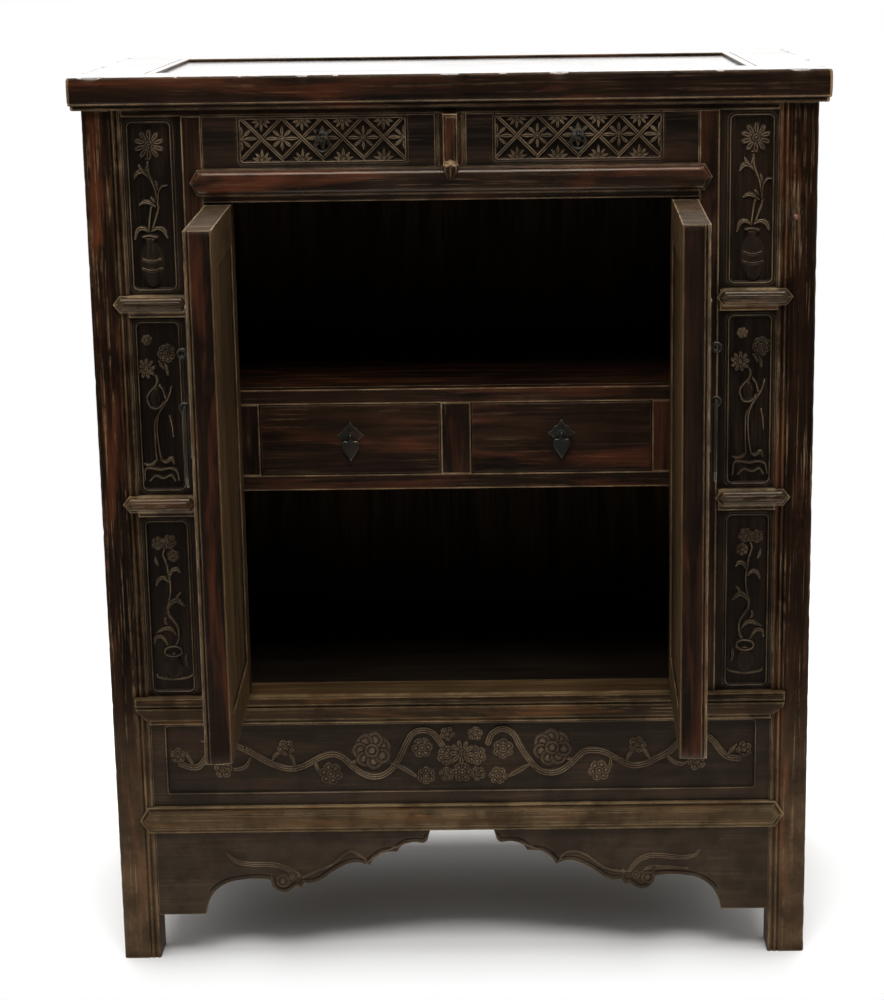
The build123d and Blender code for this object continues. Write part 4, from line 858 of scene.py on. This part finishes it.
divider = {"half": 17.0, "up": (992.0, 1054.0), "bar": 8.6, "barFoot": 994.0, "barFront": -13.0,
           "reeds": (-13.3, 13.3), "budMiddle": 989.5, "budDepth": -7.4, "budRadii": (9.2, 7.6, 14.0), "ridges": 8}


def dividerPiece():
    low, high = divider["up"]
    half = divider["bar"]
    bm = bmesh.new()
    addBlock(bm, (-divider["half"], divider["half"]), (4.0, 56.0), (low, high))
    for x in divider["reeds"]:
        mouldedSlab(bm, rectangle(x - 1.6, x + 1.6, low, high), 5.0, 3.4, torusProfile(1.4, 1.8, 3))
    mouldedSlab(bm, rectangle(-half, half, divider["barFoot"], high), 6.0, divider["barFront"] + 1.6,
                torusProfile(1.5, 1.6, 3) + [(0.5, -1.0), (0.6, 0.2), (0.4, 0.9)] + torusProfile(2.4, 0.9, 3))
    cutAlong(bm, 2, np.linspace(996, 1052, 24))
    weather(bm, 0.9, 7, 1.9)
    wide, deep, tall = divider["budRadii"]
    for vert in bmesh.ops.create_uvsphere(bm, u_segments=48, v_segments=28, radius=1.0)["verts"]:
        x, y, z = vert.co
        ridge = 1 + 0.09 * math.cos(math.atan2(x, y) * divider["ridges"]) * (1 - z * z)
        girth = ridge * (1.0 if z > -0.1 else max(0.05, 1 - 0.42 * (-z - 0.1) ** 1.3))
        vert.co = (x * wide * girth, divider["budDepth"] + y * deep * girth, divider["budMiddle"] + z * tall)
    finishPiece(bm, "drawerDivider", "root", "lacquerZ", ["drawer_divider"])


diaper = {
    "pitch": 0.8, "field": (53.0, 245.0, 1000.3, 1049.0), "middle": (149.0, 1026.8), "step": 47.5, "slope": 1.05,
    "sunk": 2.6, "bold": 1.1, "flower": 15.5, "half": 11.5, "fan": (-70, -38, 0, 38, 70), "double": 1.6,
}


def petalStroke(rise, centre, direction, reach, widths, start):
    # a leaf from near the centre out to its reach
    return ("leaf", rise, [(centre[0] + direction[0] * away, centre[1] + direction[1] * away, width)
                           for away, width in zip((start, reach * 0.65, reach), widths)])


def diaperStrokes():
    across, up = diaper["middle"]
    strokes = []
    for index in range(-2, 3):
        centre = (across + index * diaper["step"], up)
        for petal in range(8):
            angle = petal * math.pi / 4
            long = petal % 4 == 0
            reach = diaper["flower"] + (3.5 if long else 0 if petal % 2 else -1.0)
            wide = 2.5 if long else 2.1
            strokes.append(petalStroke(2.5, centre, (math.cos(angle), math.sin(angle) * 0.92), reach,
                                       (wide * 0.5, wide, 0.7), 4))
        strokes.append(("lobe", 2.8, [(*centre, 3.4)]))
    for index in range(4):
        cross = across + (index - 1.5) * diaper["step"]
        for side, edge in zip((-1, 1), diaper["field"][2:]):
            for petal in diaper["fan"]:
                angle = math.radians(petal)
                reach = diaper["half"] * (1.15 if petal == 0 else 1.0)
                strokes.append(petalStroke(2.4, (cross, edge), (math.sin(angle), -side * math.cos(angle)), reach,
                                           (0.9, 1.9, 0.6), 2.5))
            strokes.append(("lobe", 2.5, [(cross, edge - side * 1.5, 3.0)]))
        run = diaper["step"] / 2
        for rise in (-run * diaper["slope"], run * diaper["slope"]):
            for shift in (-diaper["double"], diaper["double"]):
                strokes.append(("stem", 2.6, [(cross - run - 1, up - rise + shift, 1.0), (cross, up + shift, 1.0),
                                              (cross + run + 1, up + rise + shift, 1.0)]))
    return strokes


def diaperHeight(spots):
    xLow, xHigh, zLow, zHigh = diaper["field"]
    gap = roundedGap(spots, ((xLow + xHigh) / 2, (zLow + zHigh) / 2), ((xHigh - xLow) / 2, (zHigh - zLow) / 2), 1.5)
    relief = carved(spots, diaperStrokes(), diaper["bold"])
    return (frameLines(gap, diaper["sunk"], 0.8, 3.6) + 1.15 * relief * np.clip(-gap / 1.0, 0, 1),
            markOf(gap, relief, 2.5))


def upperDrawerFront(side):
    low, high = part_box("right_upper_drawer_front")
    bm = bmesh.new()
    reliefBoard(bm, (low[0] / mm, high[0] / mm), (low[2] / mm, high[2] / mm), (0.5, 18.5), diaper["pitch"],
                diaperHeight)
    finishPiece(bm, side + "UpperDrawerFront", side + "_upper_drawer", "diaperX", [side + "_upper_drawer_front"],
                mirrored=side == "left", sharp=60)


innerFront = {"x": (18.8, 238.2), "z": (616.3, 703.2), "back": 56.5, "front": 39.9,
              "seeds": {"left": 4.4, "right": 6.1}}


def innerDrawerFront(side):
    (xLow, xHigh), (zLow, zHigh) = innerFront["x"], innerFront["z"]
    bm = bmesh.new()
    mouldedSlab(bm, rectangle(xLow, xHigh, zLow, zHigh), innerFront["back"], innerFront["front"],
                [(0.5, 0.8), (0.9, 0.6)])
    cutAlong(bm, 0, np.linspace(xLow + 4, xHigh - 4, 40))
    cutAlong(bm, 2, np.linspace(zLow + 4, zHigh - 4, 14))
    weather(bm, 0.8, 13, innerFront["seeds"][side], lambda co: co.y < 41)
    finishPiece(bm, side + "InnerDrawerFront", side + "_inner_drawer", "lacquerX", [side + "_inner_drawer_front"],
                mirrored=side == "left")


topBoards = {
    "across": 443.0, "back": (-13.0, 487.0), "endWide": 92.0, "longWide": 88.0, "cuts": (300, 90), "mitreGap": 0.15,
    "line": {"edge": 0.9, "line": 12.2, "groove": 11.4, "lineEnd": 10.6},
    # from the inner foot round the outer edge to the inner arris, (inwards, up)
    "section": [("inner", 1062), (4.5, 1062), (3.2, 1062.9), (2.7, 1064.6), (3.0, 1066.9), (2.2, 1067.6),
                (1.0, 1068.0), (0.3, 1069.2), (0.9, 1070.5), (0.2, 1071.6), (0, 1080), (0, 1090), (0.1, 1096.5),
                (0.7, 1098.9), (1.9, 1100), (10, 1100), (13, 1100), (18, 1100), ("line", 1100), ("groove", 1099.0),
                ("lineEnd", 1100), ("edge", 1100), ("inner", 1099.1)],
}


def knockTop(vert, inward):
    # dents and chips along the outer arrises
    place = Vector(vert.co)
    rough = max(0.0, noise.noise(place / 9 + Vector((0, 0, 3)))) * 0.55
    chip = max(0.0, noise.noise(place / 21 + Vector((5, 1, 0))) - 0.22) * 9
    if place.z > 1096:
        back = rough + chip * 0.4
        vert.co.z -= (rough + chip) * (0.5 if place.z > 1099 else 0.2)
    else:
        back = rough if place.z < 1072 else 0.0
    vert.co.x += inward[0] * back
    vert.co.y += inward[1] * back


def topMember(start, end, inward, wide, other, cuts):
    # one board of the frame, its ends cut to a mitre against boards as wide as other
    names = {"inner": wide, **{name: wide - less for name, less in topBoards["line"].items()}}
    section = [(names.get(into, into), z) for into, z in topBoards["section"]]
    bm = bmesh.new()
    face = bm.faces.new([bm.verts.new((start[0] + inward[0] * into, start[1] + inward[1] * into, z))
                         for into, z in section])
    extrudeBy(bm, face, (end[0] - start[0], end[1] - start[1], 0))
    axis = 0 if inward[0] == 0 else 1
    low, high = sorted((start[axis], end[axis]))
    cutAlong(bm, axis, np.linspace(low, high, cuts)[1:-1])

    def inwards(vert):
        return (vert.co.x - start[0]) * inward[0] + (vert.co.y - start[1]) * inward[1]

    for vert in bm.verts:
        share = (vert.co[axis] - low) / (high - low)
        trim = inwards(vert) / wide * other + topBoards["mitreGap"]
        vert.co[axis] = low + trim + share * (high - low - 2 * trim)
    for vert in bm.verts:
        if inwards(vert) <= 6:
            knockTop(vert, inward)
    mesh = bpy.data.meshes.new("part")
    bm.to_mesh(mesh)
    bm.free()
    return mesh


def topFrame():
    across, (near, far) = topBoards["across"], topBoards["back"]
    corners = [(-across, near), (across, near), (across, far), (-across, far)]
    bm = bmesh.new()
    for index, inward in enumerate([(0, 1), (-1, 0), (0, -1), (1, 0)]):
        wide, other = [topBoards[name] for name in ("longWide", "endWide")][::-1 if index % 2 else 1]
        mesh = topMember(corners[index], corners[(index + 1) % 4], inward, wide, other, topBoards["cuts"][index > 0])
        bm.from_mesh(mesh)
        bpy.data.meshes.remove(mesh)
    bmesh.ops.recalc_face_normals(bm, faces=bm.faces)
    for face in bm.faces:
        face.material_index = 1 if face.normal.z > 0.8 and face.calc_center_median().z > 1098 else 0
    finishPiece(bm, "topFrame", "root", "lacquerX polishedX", ["top_frame"])


doors = {
    "z": (347.5, 951.0), "free": (0.75, 42.75), "hinge": (248.0, 290.0), "thick": 31.0, "rail": 46.0,
    "panel": (8.0, 28.0), "seeds": {"left": 8.3, "right": 11.7}, "footKnock": {"left": 2.6, "right": 4.2},
    "headKnock": 1.4, "barrel": 15.45, "turned": 15.4, "pin": (274.5, 15.5), "pinRadius": 10, "pinTall": 14,
    "freeSection": [(42.75, 0), (9.6, 0), (8.8, 0.8), (8.0, 0.0), (6.4, 0.0), (5.2, 0.4), (4.3, 1.1), (3.4, 0.3),
                    (2.0, 0.05), (1.1, 0.6), (0.75, 1.7), (0.75, 2.9), (1.1, 3.5), (2.6, 4.3), (2.7, 4.9), (1.1, 5.6),
                    (0.75, 6.2), (0.75, 7.5), (0.75, 20), (0.75, 29), (1.1, 30.5), (2.2, 31), (42.75, 31)],
}


def finishDoor(bm, side, name, node, finish, bareFrom=math.inf):
    # inner faces are bare wood, sawn ends paler
    low, high = doors["z"]
    bmesh.ops.recalc_face_normals(bm, faces=bm.faces)
    for face in bm.faces:
        middle = face.calc_center_median()
        if middle.y > bareFrom or face.normal.y > 0.5 or (face.normal.y > -0.5 and middle.y > 29.5):
            face.material_index = 1
        elif abs(face.normal.z) > 0.7 and not low + 3 <= middle.z <= high - 3:
            face.material_index = 2
    finishPiece(bm, side + name, side + "_door", finish, [side + node], mirrored=side == "left", openDoor=side)


def freeStile(side):
    low, high = doors["z"]
    bm = bmesh.new()
    prism(bm, doors["freeSection"], low, high)
    cutAlong(bm, 2, np.concatenate([low + np.array([1.5, 4, 8]), np.linspace(low + 12, high - 4, 150), [high - 1.5]]))
    weather(bm, 0.9, 13, doors["seeds"][side], lambda co: co.x < 12)
    for vert in bm.verts:  # corners knocked round at the foot and the head
        for end, reach, strength in ((low, 11.0, doors["footKnock"][side]), (high, 5.0, doors["headKnock"])):
            near = max(0.0, 1 - abs(vert.co.z - end) / reach)
            if near and vert.co.x < 7:
                vert.co.x += strength * near * near * (1.2 if 3 < vert.co.y < 28 else 1.6) * (1 - vert.co.x / 8)
    finishDoor(bm, side, "DoorFreeStile", "_door_free_stile", "doorZ rawZ endsZ")


def hingeStile(side):
    low, high = doors["z"]
    (xLow, xHigh), barrel, turned = doors["hinge"], doors["barrel"], doors["turned"]
    bm = bmesh.new()
    turn = [(xHigh - barrel + turned * math.sin(a), barrel - turned * math.cos(a))
            for a in np.linspace(0, math.pi / 2, 9)]
    prism(bm, [(xLow, 0)] + turn + [(xHigh, 30.2), (xHigh - 0.8, 31), (xLow, 31)], low, high)
    cutAlong(bm, 2, np.linspace(low + 5, high - 5, 60))
    weather(bm, 0.4, 15, 2.9)
    radius = doors["pinRadius"]
    for z in (low - 1, high + 6):  # the pins that turn in the rails
        bmesh.ops.create_cone(bm, cap_ends=True, segments=32, radius1=radius, radius2=radius, depth=doors["pinTall"],
                              matrix=Matrix.Translation((*doors["pin"], z)))
    finishDoor(bm, side, "DoorHingeStile", "_door_hinge_stile", "lacquerZ rawZ endsZ")


def doorRailsAndPanel(side):
    low, high = doors["z"]
    xLow, xHigh, (front, back) = doors["free"][1], doors["hinge"][0], doors["panel"]
    bm = bmesh.new()
    for zLow, zHigh in ((low, low + doors["rail"]), (high - doors["rail"], high)):
        addBlock(bm, (xLow + 0.1, xHigh - 0.1), (0.25, doors["thick"] - 0.2), (zLow, zHigh))
    cutAlong(bm, 0, np.linspace(46, 245, 30))
    weather(bm, 0.4, 15, 6.6)
    finishDoor(bm, side, "DoorRails", "_door_rails", "lacquerX rawX endsZ")
    zLow, zHigh = low + doors["rail"], high - doors["rail"]
    bm = bmesh.new()
    mouldedSlab(bm, rectangle(xLow, xHigh, zLow, zHigh), back, front + 2.0,
                [(5.0, 0.2), (1.2, 1.2), (1.0, 0.5), (3.0, 0.1)])
    cutAlong(bm, 2, np.linspace(zLow + 15, zHigh - 15, 40))
    weather(bm, 0.35, 25, 1.2)
    finishDoor(bm, side, "DoorPanel", "_door_panel", "lacquerZ rawZ endsZ", bareFrom=15)


fittings = {
    "ring": {"radius": 8.5, "wire": 1.3, "depth": -4.9},
    "rosette": {"at": (149.0, 1028.5), "radius": 7.0, "petals": 10,
                "profile": [(0.3, 0.3), (1.4, 0.5), (1.6, -0.3), (0.8, 0.2)]},
    "plate": {"at": (128.5, 665.0), "half": 17.0},
    "leaf": {"at": (128.5, 666.0), "depth": 33.4,
             "half": [(0, -32), (3.4, -27), (7.2, -21.5), (10.2, -16), (10.9, -11.5), (9.6, -8.4), (6.6, -7.2),
                      (3.6, -8.2), (2.2, -5.4), (2.6, -3.2), (1.4, -1.2)]},
    "wax": {"at": (404.3, 929.0), "radius": 2.7, "tall": 1.6},
}


def addDome(bm, x, depth, z, radius, tall):
    for vert in bmesh.ops.create_uvsphere(bm, u_segments=20, v_segments=12, radius=1.0)["verts"]:
        a, b, c = vert.co
        vert.co = (x + a * radius, depth + (b if b < 0 else b * 0.5) * tall, z + c * radius)


def finishIron(bm, side, name, body, node):
    finishPiece(bm, side + name, side + body, "iron", [side + node], mirrored=side == "left")


def upperFittings(side):
    ring, rosette = fittings["ring"], fittings["rosette"]
    x, z = rosette["at"]
    bm = bmesh.new()
    outline = circlePoints((x, z), 60, lambda angle: rosette["radius"] * (
        0.93 + 0.07 * abs(math.cos(angle * rosette["petals"] / 2))))
    mouldedSlab(bm, outline, 0.6, -0.3, rosette["profile"])
    addDome(bm, x, -1.0, z, 3.0, 7.6)
    finishIron(bm, side, "UpperDrawerRosette", "_upper_drawer", "_upper_drawer_fitting")
    bm = bmesh.new()
    depth, z = ring["depth"], z - ring["radius"]
    start = bmesh.ops.create_circle(bm, segments=12, radius=ring["wire"],
                                    matrix=Matrix.Translation((x + ring["radius"], depth, z)))["verts"]
    bmesh.ops.spin(bm, geom=list({e for v in start for e in v.link_edges}), cent=(x, depth, z), axis=(0, 1, 0),
                   angle=2 * math.pi, steps=48, use_merge=True)
    finishIron(bm, side, "UpperDrawerRing", "_upper_drawer_pull", "_upper_drawer_pull")


def lozengeShare(angle):
    # longest at the four points, hollow between them
    point = abs(angle % (math.pi / 2) / (math.pi / 2) - 0.5) * 2
    return 0.70 + 0.30 * point ** 3.0 - 0.05 * math.sin(point * math.pi)


def innerFittings(side):
    plate, leaf = fittings["plate"], fittings["leaf"]
    (x, z), (leafX, leafZ) = plate["at"], leaf["at"]
    bm = bmesh.new()
    mouldedSlab(bm, circlePoints((x, z), 72, lambda angle: plate["half"] * lozengeShare(angle)), 39.2, 38.1,
                [(0.35, 0.35), (1.2, 0.2)])
    addDome(bm, x, 37.4, z + 0.5, 3.4, 7.6)
    finishIron(bm, side, "InnerDrawerPlate", "_inner_drawer", "_inner_drawer_fitting")
    bm = bmesh.new()
    outline = [(leafX + x, leafZ + z) for x, z in leaf["half"]]
    outline += [(leafX - x, leafZ + z) for x, z in leaf["half"][:0:-1]]
    mouldedSlab(bm, outline, leaf["depth"] + 0.8, leaf["depth"] - 0.2, [(0.4, 0.4), (1.4, 0.3)])
    finishIron(bm, side, "InnerDrawerLeaf", "_inner_drawer_pull", "_inner_drawer_pull")


def waxPiece():
    (x, z), radius, tall = fittings["wax"]["at"], fittings["wax"]["radius"], fittings["wax"]["tall"]
    bm = bmesh.new()
    addDome(bm, x, 0.2, z, radius, tall)
    addDome(bm, x + 0.9, 0.2, z - 2.6, radius * 0.55, tall * 0.7)  # the run below it
    finishPiece(bm, "waxDrop", "root", "wax")


sillPiece()
waxPiece()
dividerPiece()
for side in ("left", "right"):
    upperDrawerFront(side)
    innerDrawerFront(side)
    freeStile(side)
    hingeStile(side)
    doorRailsAndPanel(side)
    upperFittings(side)
    innerFittings(side)
topFrame()
print("stage: drawers, doors, top and fittings made")
carvedSide("left")
carvedSide("right")
bellyBoard()
apronPiece("left")
apronPiece("right")
print("stage: carved boards made")
for railName in rails:
    frontRail(railName)
shortRailPiece()
frontPost("left")
frontPost("right")
print("stage: rails and posts made")


# nodes that show as they are; the other nodes have a piece in their place
nodeFinishes = {
    "polishedX": ["top_panel"],
    "lacquerX": ["front_top_rail", "inner_drawer_rails", "shelf_board"],
    "lacquerY": ["left_side_rails", "right_side_rails"],
    "lacquerZ": ["rear_left_post", "rear_right_post", "left_door_post", "right_door_post", "left_side_panels",
                 "right_side_panels", "inner_drawer_stiles"],
    "oldX": ["back_rails", "bottom_board"],
    "oldY": ["runners_and_cleats", "top_battens", "left_upper_drawer_box", "right_upper_drawer_box",
             "left_inner_drawer_box", "right_inner_drawer_box"],
    "oldZ": ["back_panels"],
    "shadeX": ["compartment_floor"],
    "iron": ["left_door_plate", "right_door_plate", "left_door_pull", "right_door_pull"],
}
for finish, members in nodeFinishes.items():
    for name in members:
        nodes[name].data.materials.clear()
        nodes[name].data.materials.append(finishes[finish])


stageSizes = {"floorSpan": 40.0, "floorColour": (0.95, 0.945, 0.935), "paleFrom": 0.5, "paleBy": 1.0,
              "shadowMiddle": 0.45, "shadowLong": 0.55, "frontFrom": -0.12, "frontBy": -0.21,
              "mirrorFrom": 0.6, "mirrorBy": 1.5, "mirrorLoss": 0.9, "frontMirror": 0.1, "behind": (-0.3, 0.4),
              "ambient": (0.04, 1.05), "ambientFrom": 0.35, "ambientBy": 0.95}


def makeFloor():
    bm = bmesh.new()
    bmesh.ops.create_grid(bm, x_segments=2, y_segments=2, size=stageSizes["floorSpan"] / 2)
    floor = meshObject("floor", bm)
    paint = bpy.data.materials.new("floorPaint")
    paint.use_nodes = True
    tree = paint.node_tree
    tree.nodes.clear()
    rays = addNode(tree, "LightPath").outputs
    where = addNode(tree, "TexCoord").outputs["Object"]
    # white to the camera away from the shadow, which reaches back, and in front of the cabinet
    long = stageSizes["shadowLong"]
    moved = (0, -stageSizes["shadowMiddle"] * long, 0)
    stretched = addNode(tree, "VectorMath", {0: where, 1: (1, long, 1), 2: moved}, operation="MULTIPLY_ADD")
    reach = addNode(tree, "VectorMath", {0: stretched.outputs[0]}, operation="LENGTH")
    away = ramp(tree, reach.outputs["Value"], stageSizes["paleFrom"], stageSizes["paleBy"])
    split = addNode(tree, "SeparateXYZ", {0: where})
    inFront = ramp(tree, split.outputs["Y"], stageSizes["frontFrom"], stageSizes["frontBy"])
    pale = times(tree, rays["Is Camera Ray"], greater(tree, away, inFront))
    # mirrored in the gloss, the floor ends soon in front of the cabinet
    span = addNode(tree, "VectorMath", {0: where}, operation="LENGTH")
    gone = ramp(tree, span.outputs["Value"], stageSizes["mirrorFrom"], stageSizes["mirrorBy"])
    gone = times(tree, times(tree, gone, rays["Is Glossy Ray"]), stageSizes["mirrorLoss"])
    colour = mixed(tree, greater(tree, pale, gone), stageSizes["floorColour"], (0.0, 0.0, 0.0))
    matt = addNode(tree, "BsdfDiffuse", {"Color": colour})
    glow = addNode(tree, "Emission", {"Strength": pale})
    both = addNode(tree, "AddShader", {0: matt.outputs[0], 1: glow.outputs[0]})
    addNode(tree, "OutputMaterial", {"Surface": both.outputs[0]})
    floor.data.materials.append(paint)


def makeWorld():
    world = bpy.data.worlds.new("studio")
    bpy.context.scene.world = world
    world.use_nodes = True
    tree = world.node_tree
    tree.nodes.clear()
    rays = addNode(tree, "LightPath").outputs
    split = addNode(tree, "SeparateXYZ", {0: addNode(tree, "TexCoord").outputs["Generated"]}).outputs
    behind = ramp(tree, split["Y"], *stageSizes["behind"], stageSizes["frontMirror"], 1.0)
    mirror = times(tree, rays["Is Glossy Ray"], behind)
    shown = greater(tree, greater(tree, rays["Is Camera Ray"], mirror), rays["Is Transmission Ray"])
    above = ramp(tree, split["Z"], stageSizes["ambientFrom"], stageSizes["ambientBy"], *stageSizes["ambient"])
    strength = greater(tree, shown, times(tree, rays["Is Diffuse Ray"], above))
    back = addNode(tree, "Background", {"Color": (1, 1, 1), "Strength": strength})
    addNode(tree, "OutputWorld", {"Surface": back.outputs[0]})


lamps = {
    # place, aim, size and power
    "overhead": ((0, 0.6, 3.4), (0, 0.1, 0.4), (3.0, 3.0), 130),
    "frontHigh": ((0, -1.7, 3.3), (0, 0, 0.5), (1.8, 1.2), 68),
    "backSoft": ((0, 3.2, 2.1), (0, 0.4, 1.0), (4.0, 1.8), 13),
}


def makeLamp(name):
    place, target, size, power = lamps[name]
    data = bpy.data.lights.new(name, "AREA")
    data.shape = "RECTANGLE"
    data.size, data.size_y = size
    data.energy = power
    lamp = bpy.data.objects.new(name, data)
    lamp.location = place
    lamp.rotation_euler = (Vector(target) - Vector(place)).to_track_quat("-Z", "Y").to_euler()
    bpy.context.scene.collection.objects.link(lamp)


view = {"sensor": 36, "lens": 86.62, "shift": (-0.0525, 0.025), "yaw": -0.0052, "pitch": 0.2408, "roll": 0.0130,
        "place": (0.0604, -2.9455, 1.2553)}


def makeCamera():
    data = bpy.data.cameras.new("view")
    data.sensor_width = view["sensor"]
    data.lens = view["lens"]
    data.shift_x, data.shift_y = view["shift"]
    camera = bpy.data.objects.new("view", data)
    yaw, pitch, roll = view["yaw"], view["pitch"], view["roll"]
    forward = Vector((math.sin(yaw) * math.cos(pitch), math.cos(yaw) * math.cos(pitch), -math.sin(pitch)))
    level = Vector((math.cos(yaw), -math.sin(yaw), 0))
    down = forward.cross(level)
    right = level * math.cos(roll) + down * math.sin(roll)
    under = down * math.cos(roll) - level * math.sin(roll)
    camera.matrix_world = Matrix.Translation(view["place"]) @ Matrix((right, -under, -forward)).transposed().to_4x4()
    bpy.context.scene.collection.objects.link(camera)
    bpy.context.scene.camera = camera


makeFloor()
makeWorld()
for name in lamps:
    makeLamp(name)
makeCamera()
bpy.context.scene.view_settings.view_transform = "Standard"
print("stage: lamps, floor and camera set")
